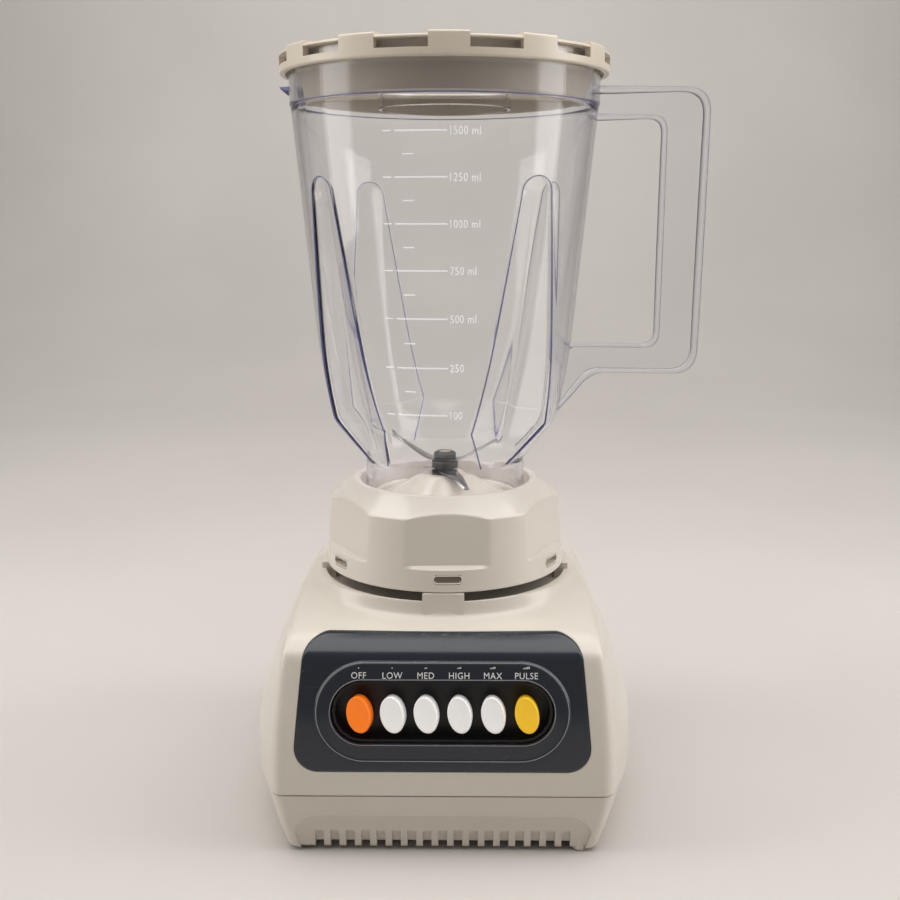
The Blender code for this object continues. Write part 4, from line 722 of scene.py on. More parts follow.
def drive_from(work: Tree, group: bpy.types.NodeTree, values: dict[str, object], shader: bpy.types.Node,
               bump: float, depth: float) -> bpy.types.Node:
    """Places a surface group and feeds a Principled shader from it.

    Args:
        work: the material's tree.
        group: the surface group.
        values: the group's input values.
        shader: the Principled shader.
        bump: strength of the bump.
        depth: distance of the bump.

    Returns:
        The group's node.
    """
    used = work.tree.nodes.new("ShaderNodeGroup")
    used.node_tree = group
    for key, value in values.items():
        used.inputs[key].default_value = value
    raised = work.node("ShaderNodeBump", {"Strength": bump, "Distance": depth,
                                          "Height": used.outputs["Height"]})
    work.tree.links.new(used.outputs["Color"], shader.inputs["Base Color"])
    work.tree.links.new(used.outputs["Roughness"], shader.inputs["Roughness"])
    work.tree.links.new(raised.outputs["Normal"], shader.inputs["Normal"])
    return used


@dataclass(frozen=True)
class Plastic:
    """A moulded finish; shade is (low, high, value at low), a painted shade that darkens it towards its
    foot.
    """

    name: str
    color: tuple[float, float, float]
    roughness: float = 0.35
    drift: float = 0.08
    spread: float = 0.12
    grain: float = 0.25
    scuffs: float = 0.2
    specks: float = 0.2
    coat: float = 0.0
    bump: float = 0.12
    alpha: float = 1.0
    # Glow is painted light: emission that brightens a part which is no lamp.
    glow: float = 0.0
    shade: tuple[float, float, float] | None = None

    def make(self, group: bpy.types.NodeTree) -> bpy.types.Material:
        """The material.

        Args:
            group: the surface group of moulded plastic.

        Returns:
            The material.
        """
        made, work, shader = new_material(self.name)
        values = {"Color": (*self.color, 1), "Drift": self.drift, "Roughness": self.roughness,
                  "Spread": self.spread, "Grain": self.grain, "Scuffs": self.scuffs,
                  "Specks": self.specks}
        used = drive_from(work, group, values, shader, self.bump, 0.1 * MM)
        # Painted shade: below a height the colour is darkened, as where the part stands in shadow.
        if self.shade:
            place_at = work.node("ShaderNodeTexCoord").outputs["Object"]
            height = work.node("ShaderNodeSeparateXYZ", {0: place_at}).outputs["Z"]
            low, high, dark = self.shade
            value = work.band(height, low, high, dark, 1.0)
            toned = work.node("ShaderNodeHueSaturation",
                              {"Value": value, "Saturation": 1.15, "Color": used.outputs["Color"]})
            work.tree.links.new(toned.outputs[0], shader.inputs["Base Color"])
        shader.inputs["IOR"].default_value = 1.5
        shader.inputs["Coat Weight"].default_value = self.coat
        shader.inputs["Coat Roughness"].default_value = 0.05
        shader.inputs["Alpha"].default_value = self.alpha
        # Painted light: the glow makes the part shine in its own colour, though it is no lamp.
        shader.inputs["Emission Color"].default_value = (*self.color, 1)
        shader.inputs["Emission Strength"].default_value = self.glow
        return made


@dataclass(frozen=True)
class Metal:
    """A bare metal finish."""

    name: str
    color: tuple[float, float, float]
    roughness: float = 0.3
    stain: float = 0.35
    brush: float = 0.25
    metallic: float = 1.0

    def make(self, group: bpy.types.NodeTree) -> bpy.types.Material:
        """The material.

        Args:
            group: the surface group of machined metal.

        Returns:
            The material.
        """
        made, work, shader = new_material(self.name)
        values = {"Color": (*self.color, 1), "Stain": self.stain, "Roughness": self.roughness,
                  "Brush": self.brush}
        drive_from(work, group, values, shader, 0.08, 0.05 * MM)
        shader.inputs["Metallic"].default_value = self.metallic
        return made


@dataclass(frozen=True)
class ClearPlastic:
    """A clear moulded finish whose edges gather the tint of the plastic."""

    name: str
    face: tuple[float, float, float]
    edge: tuple[float, float, float]
    roughness: float = 0.03
    bend: float = 1.33
    blend: float = 0.22
    power: float = 2.6

    def make(self) -> bpy.types.Material:
        """The material: light from lamps passes it, so that what stands inside is lit.

        Returns:
            The material.
        """
        made, work, shader = new_material(self.name)
        place_at = work.node("ShaderNodeTexCoord").outputs["Object"]
        facing = work.node("ShaderNodeLayerWeight", {"Blend": self.blend}).outputs["Facing"]
        gathered = work.math("POWER", facing, self.power)
        tint = work.tint(gathered, (*self.face, 1), (*self.edge, 1))
        haze = work.band(work.noise(place_at, 45.0, 5.0, 0.6), 0.45, 0.75, self.roughness,
                         self.roughness + 0.035)
        ripple = work.noise(place_at, 30.0, 2.0)
        raised = work.node("ShaderNodeBump", {"Strength": 0.05, "Distance": 0.0006, "Height": ripple})
        work.tree.links.new(tint, shader.inputs["Base Color"])
        work.tree.links.new(haze, shader.inputs["Roughness"])
        work.tree.links.new(raised.outputs["Normal"], shader.inputs["Normal"])
        shader.inputs["Transmission Weight"].default_value = 1.0
        shader.inputs["IOR"].default_value = self.bend
        lamp = work.node("ShaderNodeLightPath").outputs["Is Shadow Ray"]
        passing = work.node("ShaderNodeBsdfTransparent", {"Color": (0.93, 0.93, 0.96, 1)})
        mixed = work.node("ShaderNodeMixShader", {0: lamp, 1: shader.outputs[0], 2: passing.outputs[0]})
        work.tree.links.new(mixed.outputs[0], made.node_tree.nodes["Material Output"].inputs["Surface"])
        return made


class Finishes:
    """Every material of the blender, made once."""

    def __init__(self) -> None:
        """Makes the shared groups and the materials."""
        moulded, machined = moulded_group(), machined_group()
        cream, warm = (0.68, 0.632, 0.56), (0.70, 0.65, 0.58)
        plastics = [
            Plastic("housing_cream_finish", cream, 0.30, 0.06, 0.10, 0.22, 0.10, 0.10, 0.25),
            Plastic("collar_cream_finish", warm, 0.24, 0.05, 0.10, 0.15, 0.15, 0.08, 0.35),
            # The lid's skirt gets painted shade: darker below its ring, where it stands in shadow inside
            # the jug.
            Plastic("lid_cream_finish", (0.74, 0.675, 0.58), 0.33, 0.07, 0.10, 0.25, 0.15, 0.12, 0.1,
                    shade=(0.3385, 0.3412, 0.55)),
            Plastic("blade_base_finish", (0.70, 0.64, 0.55), 0.16, 0.05, 0.08, 0.1, 0.3, 0.1, 0.5),
            Plastic("slate_finish", (0.017, 0.022, 0.032), 0.22, 0.10, 0.12, 0.2, 0.9, 0.15, 0.1),
            # The jug's blue beads: the plastic's own tint, made strong along the flute edges and the step
            # as painted light.
            Plastic("line_finish", (0.11, 0.11, 0.36), 0.15, 0.05, 0.1, 0.1, 0.1, 0.1, 0.2, alpha=0.6),
            # A paler slate on the fine ridges of the bezel: a painted highlight along their crests.
            Plastic("slate_edge_finish", (0.22, 0.24, 0.27), 0.25, 0.1, 0.1, 0.2, 0.4, 0.15, 0.3),
            Plastic("well_finish", (0.006, 0.006, 0.007), 0.35, 0.1, 0.1, 0.3, 0.2, 0.1),
            # The buttons glow a little: painted light that brightens them.
            Plastic("orange_button_finish", (1.0, 0.21, 0.010), 0.34, 0.05, 0.08, 0.4, 0.2, 0.1, 0.1,
                    glow=0.25),
            Plastic("white_button_finish", (0.95, 0.94, 0.93), 0.34, 0.05, 0.08, 0.4, 0.2, 0.1, 0.1,
                    glow=0.14),
            Plastic("yellow_button_finish", (0.95, 0.57, 0.022), 0.34, 0.06, 0.08, 0.4, 0.2, 0.1, 0.1,
                    glow=0.20),
            Plastic("print_finish", (0.80, 0.80, 0.80), 0.5, 0.05, 0.1, 0.3, 0.2, 0.3),
            # The graduations glow: painted light that makes them read bright white.
            Plastic("graduation_finish", (0.80, 0.80, 0.82), 0.4, 0.05, 0.1, 0.3, 0.2, 0.1, alpha=0.5,
                    glow=0.42),
            Plastic("switch_finish", (0.045, 0.045, 0.05), 0.5, 0.15, 0.15, 0.5),
            Plastic("foot_rubber_finish", (0.36, 0.33, 0.28), 0.75, 0.2, 0.15, 0.8, 0.1, 0.6, 0.0, 0.3),
            Plastic("black_rubber_finish", (0.02, 0.02, 0.021), 0.7, 0.2, 0.15, 0.8, 0.1, 0.6, 0.0, 0.3),
            Plastic("seal_rubber_finish", (0.55, 0.53, 0.50), 0.6, 0.2, 0.15, 0.6, 0.1, 0.3, 0.0, 0.3),
            Plastic("bush_bronze_finish", (0.35, 0.22, 0.10), 0.42, 0.3, 0.2, 0.5, 0.2, 0.5),
        ]
        metals = [
            Metal("blade_steel_finish", (0.56, 0.56, 0.57), 0.20, 0.45, 0.20),
            Metal("dark_steel_finish", (0.10, 0.10, 0.105), 0.34, 0.4, 0.2),
            Metal("screw_steel_finish", (0.55, 0.55, 0.55), 0.35, 0.5, 0.3),
            Metal("motor_steel_finish", (0.30, 0.31, 0.33), 0.42, 0.6, 0.5),
            Metal("copper_finish", (0.80, 0.36, 0.18), 0.32, 0.4, 0.6),
            Metal("brass_finish", (0.78, 0.58, 0.25), 0.3, 0.4, 0.3),
            Metal("zinc_finish", (0.62, 0.63, 0.62), 0.4, 0.5, 0.3),
        ]
        self.by_name: dict[str, bpy.types.Material] = {p.name: p.make(moulded) for p in plastics}
        self.by_name |= {m.name: m.make(machined) for m in metals}
        clear = ClearPlastic("jug_clear_finish", (0.985, 0.985, 0.99), (0.03, 0.03, 0.34))
        bead = ClearPlastic("handle_clear_finish", (0.97, 0.97, 0.99), (0.03, 0.03, 0.36), blend=0.5,
                            power=1.0)
        tip = ClearPlastic("spout_clear_finish", (0.30, 0.30, 0.62), (0.10, 0.10, 0.38))
        cap = ClearPlastic("cap_clear_finish", (0.965, 0.965, 0.97), (0.70, 0.70, 0.78))
        self.by_name |= {c.name: c.make() for c in (clear, bead, tip, cap)}

    def __getitem__(self, name: str) -> bpy.types.Material:
        """The material of that name, without its ending."""
        return self.by_name[name + "_finish"]


# ---------------------------------------------------------------- base
@dataclass
class BaseShape:
    """Outside of the base: flat front and back, bulging sides, soft creases, rounding to an oval.

    A station is (height share, side inset, face inset, crease inset, roundness).
    """

    bottom: float
    top: float
    half_width: float
    half_depth: float
    stations: tuple[tuple[float, float, float, float, float], ...]
    crease_half: float = 0.0740  # before a station's inset
    crease_cut: float = 0.0042
    bulge: float = 2.2
    side_columns: int = 26
    crease_columns: int = 7
    face_columns: int = 44

    def sizes(self, z: Array) -> tuple[Array, Array, Array, Array]:
        """Half-width, half-depth, crease half-width and roundness at heights.

        Args:
            z: the heights.

        Returns:
            Four arrays, in that order.
        """
        share = (np.asarray(z) - self.bottom) / (self.top - self.bottom)
        rows = np.array(self.stations)
        read = [smooth_through(share, rows[:, 0], rows[:, k]) for k in range(1, 5)]
        return self.half_width - read[0], self.half_depth - read[1], self.crease_half - read[2], read[3]

    def ring(self, z: Array, inset: Array | float = 0.0, lift: Array | None = None) -> Array:
        """Outlines of the base, one row of points for each height.

        On the side, x = w - (w - e) |y/d|^bulge, where w, d and e are the half-width, the
        half-depth and the crease. The crease is a quadratic curve, the face is straight, and the
        whole is mixed with the ellipse of the same half-axes by the roundness.

        Args:
            z: the heights at which the outline is read.
            inset: how far the outline stands in from the surface.
            lift: the heights at which the points lie, if not z.

        Returns:
            A grid of points, anticlockwise from +X.
        """
        z = np.atleast_1d(np.asarray(z, float))
        w, d, e, roundness = (np.asarray(v)[:, None] for v in self.sizes(z))
        inset = np.broadcast_to(np.atleast_1d(inset), z.shape)[:, None]
        w, d, e, cut = w - inset, d - inset, e - inset, self.crease_cut
        side = np.linspace(0, 1, self.side_columns)[None] * (d - cut)
        side_x = w - (w - e) * (side / d) ** self.bulge
        t = np.linspace(0, 1, self.crease_columns + 2)[None, 1:-1]
        crease_x = (1 - t) ** 2 * side_x[:, -1:] + 2 * t * (1 - t) * e + t * t * (e - cut)
        crease_y = (1 - t) ** 2 * (d - cut) + 2 * t * (1 - t) * d + t * t * d
        face_x = np.linspace(1, 0, self.face_columns + 1)[None] * (e - cut)
        x = np.concatenate([side_x, crease_x, face_x], axis=1)
        y = np.concatenate([side, crease_y, d + 0 * face_x], axis=1)
        x, y = self.rounded(x, y, w, d, roundness)
        x = np.concatenate([x, -x[:, -2::-1], -x[:, 1:], x[:, -2:0:-1]], axis=1)
        y = np.concatenate([y, y[:, -2::-1], -y[:, 1:], -y[:, -2:0:-1]], axis=1)
        height = z if lift is None else np.asarray(lift)
        return np.stack([x, y, height[:, None] + 0 * x], axis=-1)

    @staticmethod
    def rounded(x: Array, y: Array, w: Array, d: Array, roundness: Array) -> tuple[Array, Array]:
        """Points mixed with those of the ellipse in the same direction."""
        angle = np.arctan2(y / d, x / w)
        return x + (w * np.cos(angle) - x) * roundness, y + (d * np.sin(angle) - y) * roundness

    def face(self, x: Array, z: Array, out: Array | float = 0.0) -> Array:
        """Points on the front face, or at a distance out from it along its normal.

        Args:
            x: distance from the middle before the outline is rounded.
            z: height.
            out: distance outwards.

        Returns:
            The points, in the shape of x.
        """
        def on(x: Array, z: Array) -> Array:
            """Points on the face itself."""
            w, d, _, roundness = self.sizes(z)
            px, py = self.rounded(x, np.broadcast_to(d, np.shape(x)), w, d, roundness)
            return np.stack([px, -py, np.broadcast_to(z, np.shape(x))], axis=-1)

        here, small = on(x, z), 0.2 * MM
        along = on(x + small, z) - on(x - small, z)
        up = on(x, z + small) - on(x, z - small)
        normal = np.cross(along, up)
        normal /= np.linalg.norm(normal, axis=-1, keepdims=True)
        return here + normal * np.broadcast_to(np.asarray(out, float), np.shape(x))[..., None]

    @property
    def front_column(self) -> int:
        """Index of the middle column of the front face."""
        return 3 * (self.side_columns + self.crease_columns + self.face_columns)


UPPER_STATIONS = (
    (0.000, 0.0000, 0.0000, 0.0000, 0.0),
    (0.152, 0.0002, 0.0006, 0.0001, 0.0),
    (0.391, 0.0059, 0.0025, 0.0009, 0.0),
    (0.587, 0.0106, 0.0055, 0.0022, 0.0),
    (0.707, 0.0142, 0.0077, 0.0032, 0.0),
    (0.769, 0.0164, 0.0092, 0.0038, 0.0),
    (0.827, 0.0188, 0.0138, 0.0044, 0.0),
    (0.872, 0.0208, 0.0193, 0.0050, 0.12),
    (0.898, 0.0219, 0.0248, 0.0080, 0.60),
    (0.934, 0.0238, 0.0278, 0.0120, 0.90),
    (1.000, 0.0269, 0.0289, 0.0160, 1.0),
)
LOWER_STATIONS = (
    (0.00, 0.0114, 0.0049, 0.0060, 0.0),
    (0.45, 0.0054, 0.0027, 0.0028, 0.0),
    (1.00, 0.0002, 0.0002, 0.0001, 0.0),
)


@dataclass
class Panel:
    """Control panel with its raised bezel, its print and the row of buttons."""

    shape: BaseShape
    row_z: float
    tilt: float
    low: float = 0.0407
    high: float = 0.0985
    low_half: float = 0.0646
    high_half: float = 0.0612
    corner: float = 0.0105
    bezel_half: float = 0.0335
    bezel_radius: float = 0.0218
    opening_half: float = 0.0348
    opening_radius: float = 0.0137
    proud: float = 0.00035
    gap: float = 0.00025
    word_height: float = 0.0027
    word_rise: float = 0.0161
    mark_rise: float = 0.0190
    print_out: float = 0.00097

    @property
    def outline(self) -> RoundedOutline:
        """Outline of the panel, seen from the front.

        Returns:
            The outline, with its lower corners first.
        """
        r = self.corner
        low, high = self.low + r, self.high - r
        return RoundedOutline(((-self.low_half + r, low), (self.low_half - r, low),
                               (self.high_half - r, high), (-self.high_half + r, high)), r)

    def slot(self, half: float, radius: float) -> RoundedOutline:
        """A level slot around the row of buttons."""
        return RoundedOutline(((half, 0.0), (-half, 0.0)), radius, arc_steps=140, side_steps=122)

    def on_face(self, points: Array, out: float) -> Array:
        """Points of the front view, laid on the face at a distance out."""
        return self.shape.face(points[:, 0], points[:, 1], out)

    def around_row(self, slot_points: Array) -> Array:
        """Points of a slot in the tilted plane of the buttons, as the front view shows them."""
        return np.stack([slot_points[:, 0], self.row_z + slot_points[:, 1] * math.cos(self.tilt)],
                        axis=1)

    def plate(self, finish: bpy.types.Material) -> None:
        """The panel: rings of points from its edge in to the opening, laid on the face.

        Each ring is a share of the way from the panel's outline to the bezel's, or a grown copy
        of either, and its height above the face follows the moulded section.

        Args:
            finish: the material.
        """
        outline, bezel = self.outline, self.slot(self.bezel_half, self.bezel_radius)
        opening = self.slot(self.opening_half, self.opening_radius)
        picked = np.linspace(0, len(outline.grown(0)), 420, endpoint=False).astype(int)
        edge = outline.grown(-self.gap, picked)
        flat_bezel = RoundedOutline(tuple((x, self.row_z + y) for x, y in bezel.corners), bezel.radius,
                                    140, 122)
        matched = flat_bezel.nearest(edge)
        rings = []
        for grow, out in ((0.0, -1.4), (0.0, -0.25), (-0.1, 0.1), (-0.35, 0.27), (-0.8, 0.35)):
            rings.append(self.on_face(outline.grown(-self.gap + grow * MM, picked), out * MM))
        inner_edge = outline.grown(-self.gap - 1.2 * MM, picked)
        foot = self.around_row(bezel.grown(0.45 * MM, matched))
        for share in np.linspace(0, 1, 14):
            rings.append(self.on_face(inner_edge + (foot - inner_edge) * share, self.proud))
        for grow, out in ((0.3, 0.45), (0.05, 0.75), (-0.15, 1.0), (-0.4, 1.1), (-0.7, 1.06),
                          (-1.0, 0.96), (-1.5, 0.93)):
            rings.append(self.on_face(self.around_row(bezel.grown(grow * MM, matched)), out * MM))
        near, far = bezel.grown(-1.6 * MM, matched), opening.grown(1.0 * MM, matched)
        for share in (0.15, 0.5, 0.85):
            rings.append(self.on_face(self.around_row(near + (far - near) * share), 0.92 * MM))
        for grow, out in ((0.9, 0.93), (0.55, 1.02), (0.25, 0.98), (0.06, 0.75), (0.0, 0.4),
                          (0.0, -2.0)):
            rings.append(self.on_face(self.around_row(opening.grown(grow * MM, matched)), out * MM))
        back = self.on_face(self.around_row(opening.grown(0.8 * MM, matched)), -2.0 * MM)
        skin = Skin()
        skin.grid(np.array([*rings, back, rings[0]]))
        place("panel_plate", skin.mesh("panel_plate"), finish, "base", ["control_panel"])

    def ridges(self, finish: bpy.types.Material) -> None:
        """Fine ridges along the bezel's edge and the opening, a circle carried along each slot, in a
        paler slate that is a painted highlight along their crests.

        A ridge is (name, slot half-length, slot radius, growth, height and size in millimetres).

        Args:
            finish: the material.
        """
        ridges = (("bezel_ridge", self.bezel_half, self.bezel_radius, -0.45, 0.98, 0.26),
                  ("opening_ridge", self.opening_half, self.opening_radius, 0.5, 0.96, 0.22))
        for name, half, radius, grow, out, size in ridges:
            slot = RoundedOutline(((half, 0.0), (-half, 0.0)), radius, 60, 42)
            rows = [self.on_face(self.around_row(slot.grown((grow + size * math.cos(a)) * MM)),
                                 (out + size * math.sin(a)) * MM) for a in whole_turn(BEAD_SIDES)]
            closed_piece(name, np.array(rows), finish, "base")

    def print_on(self, finish: bpy.types.Material, places: Sequence[float],
                 words: Sequence[str]) -> None:
        """Words above the buttons, with a small mark over each, laid on the bezel.

        Args:
            finish: the print's material.
            places: distance of each button from the middle of the row.
            words: the word over each button.
        """
        sheet = PrintSheet()
        for number, (at, word) in enumerate(zip(places, words)):
            letters, listed = lettering(word, self.word_height, 0.93)
            sheet.add(letters + [at, self.word_rise], listed)
            bars, listed = mark(number)
            sheet.add(bars + [at, self.mark_rise], listed)
        spots = self.on_face(self.around_row(sheet.flat), self.print_out)
        sheet.make("panel_print", spots, 0.06 * MM, finish, "base", "white_button")


@dataclass
class PrintSheet:
    """Flat letters and lines, gathered before they are laid on a surface."""

    parts: list[Array] = field(default_factory=list)
    faces: list[tuple[int, ...]] = field(default_factory=list)
    count: int = 0

    @property
    def flat(self) -> Array:
        """All points of (x, y) so far."""
        return np.concatenate(self.parts)

    def add(self, points: Array, faces: Sequence[tuple[int, ...]]) -> None:
        """Adds flat points and their faces.

        Args:
            points: rows of (x, y).
            faces: indices of each face, from 0.
        """
        self.parts.append(points)
        self.faces += [tuple(self.count + i for i in face) for face in faces]
        self.count += len(points)

    def line(self, start: float, end: float, height: float, thick: float) -> None:
        """Adds a level line, cut into eight cells so that it follows a curved wall.

        Args:
            start: where the line starts.
            end: where it ends.
            height: its height.
            thick: its thickness.
        """
        x = np.linspace(start, end, 9)
        self.add(np.concatenate([np.stack([x, 0 * x + height - thick / 2], 1),
                                 np.stack([x, 0 * x + height + thick / 2], 1)]),
                 [(i, i + 1, i + 10, i + 9) for i in range(8)])

    def make(self, name: str, spots: Array, thick: float, finish: bpy.types.Material, body: str,
             slot: str) -> None:
        """Makes the print a piece of its own, as thick as a coat of ink or a moulded line.

        Args:
            name: the piece's name.
            spots: the points laid on their surface, about the drive axis.
            thick: thickness of the print.
            finish: the material.
            body: the CAD body that it rides on.
            slot: not used.
        """
        mesh = bpy.data.meshes.new(name)
        mesh.from_pydata((spots + np.array([AXIS.x, AXIS.y, 0.0])).tolist(), [], self.faces)
        step = place(name, mesh, finish, body).modifiers.new("wall", "SOLIDIFY")
        step.thickness, step.offset = thick, 0.0


def lettering(word: str, height: float, squeeze: float = 1.0) -> tuple[Array, list[tuple[int, ...]]]:
    """Flat letters of a word, centred on their middle.

    Args:
        word: the word.
        height: height of its capitals.
        squeeze: width of the letters against their usual width.

    Returns:
        Points of (x, y) and faces.
    """
    text = bpy.data.curves.new("word", "FONT")
    text.body, text.size, text.align_x = word, height / CAPITAL_SHARE, "CENTER"
    text.resolution_u = 3
    text.space_character = 1.08
    holder = bpy.data.objects.new("word", text)
    bpy.context.scene.collection.objects.link(holder)
    bpy.context.view_layer.update()
    mesh = bpy.data.meshes.new_from_object(holder.evaluated_get(bpy.context.evaluated_depsgraph_get()))
    flat = np.array([v.co[:2] for v in mesh.vertices]) * [squeeze, 1.0] - [0.0, height / 2]
    faces = [tuple(p.vertices) for p in mesh.polygons]
    bpy.data.objects.remove(holder)
    bpy.data.meshes.remove(mesh)
    return flat, faces


def mark(number: int) -> tuple[Array, list[tuple[int, ...]]]:
    """A small level mark: a row of rising bars, one for each step of speed and at least one.

    Args:
        number: the button's number, from 0.

    Returns:
        Points of (x, y) and faces.
    """
    bars = max(1, number)
    x = (np.arange(bars) - (bars - 1) / 2) * 0.62 * MM
    tall = (0.4 + 0.17 * np.arange(bars)) * MM
    wide, low = 0.19 * MM, 0 * x
    quads = np.stack([np.stack([x - wide, low], 1), np.stack([x + wide, low], 1),
                      np.stack([x + wide, tall], 1), np.stack([x - wide, tall], 1)], axis=1)
    return quads.reshape(-1, 2), [tuple(range(4 * k, 4 * k + 4)) for k in range(bars)]


@dataclass
class PushButtons:
    """The six oval buttons, each on its own body."""

    panel: Panel
    half_width: float = 0.0051
    half_height: float = 0.0080
    lean: float = math.radians(11)
    proud: float = 0.0040
    depth: float = 0.0055
    stem: float = 0.0020
    stem_end: float = 0.0143
    shift: tuple[float, float] = (0.00075, -0.00115)

    def build(self, finishes: Finishes) -> None:
        """Makes the buttons.

        Rings of one oval run from the stem up the side to a rim, then in over a shallow dish.
        The oval slides sideways as it rises, so that the cap leans towards the upper left.

        Args:
            finishes: every material, by name.
        """
        colours = ["orange_button"] + ["white_button"] * 4 + ["yellow_button"]
        for name, colour in zip(Words.nodes(), colours):
            low, high = lowest(name), highest(name)
            middle = (low[0] + high[0]) / 2
            mesh = self.cap_mesh(name + "_cap", middle)
            body = name.replace("button_", "") + "_button"
            place(name + "_cap", mesh, finishes[colour], body, [name])

    def cap_mesh(self, name: str, middle: float) -> bpy.types.Mesh:
        """Mesh of one button at its place in the row.

        Args:
            name: the mesh's name.
            middle: place of the button along the row.

        Returns:
            The mesh.
        """
        turn = whole_turn(72)
        top = self.proud
        section = [(-self.depth, -0.25), (-self.depth * 0.96, 0.0), (top * 0.55, 0.0),
                   (top * 0.80, -0.03), (top * 0.92, -0.14),
                   (top * 0.985, -0.36), (top, -0.62), (top * 0.995, -0.9), (top * 0.985, -1.3)]
        out = np.array([s[0] for s in section])[:, None]
        grow = np.array([s[1] for s in section])[:, None] * MM
        oval_x, oval_y = (self.half_width + grow) * np.cos(turn), (self.half_height + grow) * np.sin(turn)
        share = np.array([0.6, 0.4, 0.2, 0.05])[:, None]
        dish = top * 0.985 - 0.00022 * (1 - share**2)
        oval_x = np.concatenate([oval_x, oval_x[-1:] * share])
        oval_y = np.concatenate([oval_y, oval_y[-1:] * share])
        out = np.concatenate([out, dish])
        slide = (top - np.clip(out, 0, top)) / top
        x, y = swung(oval_x, oval_y, self.lean)
        x, y = x + self.shift[0] * slide, y + self.shift[1] * slide
        stem_out = np.array([[-self.stem_end], [-self.depth - 0.0002]])
        x = np.concatenate([self.stem * np.cos(turn)[None] + 0 * stem_out, x])
        y = np.concatenate([self.stem * np.sin(turn)[None] + 0 * stem_out, y])
        out = np.concatenate([stem_out, out]) + 0 * x
        skin = Skin()
        skin.closed_rows(self.in_plane(x + middle, y, out))
        return skin.mesh(name)

    def in_plane(self, x: Array, y: Array, out: Array) -> Array:
        """Points of the tilted plane of the buttons: x across, y up the face, out along its normal.

        Args:
            x: places across.
            y: places up the face.
            out: distances out from it.

        Returns:
            The points.
        """
        tilt = self.panel.tilt
        face_y = -float(self.panel.shape.sizes(np.array([self.panel.row_z]))[1][0])
        up = np.array([0, math.sin(tilt), math.cos(tilt)])
        ahead = np.array([0, -math.cos(tilt), math.sin(tilt)])
        start = np.array([0, face_y, self.panel.row_z])
        return start + x[..., None] * np.array([1.0, 0, 0]) + y[..., None] * up + out[..., None] * ahead


class Words(Enum):
    """The word over each button, in the order of the row."""

    OFF = "off"
    LOW = "low"
    MED = "medium"
    HIGH = "high"
    MAX = "max"
    PULSE = "pulse"

    @classmethod
    def nodes(cls) -> list[str]:
        """CAD nodes of the buttons, in the same order."""
        return ["button_" + word.value for word in cls]


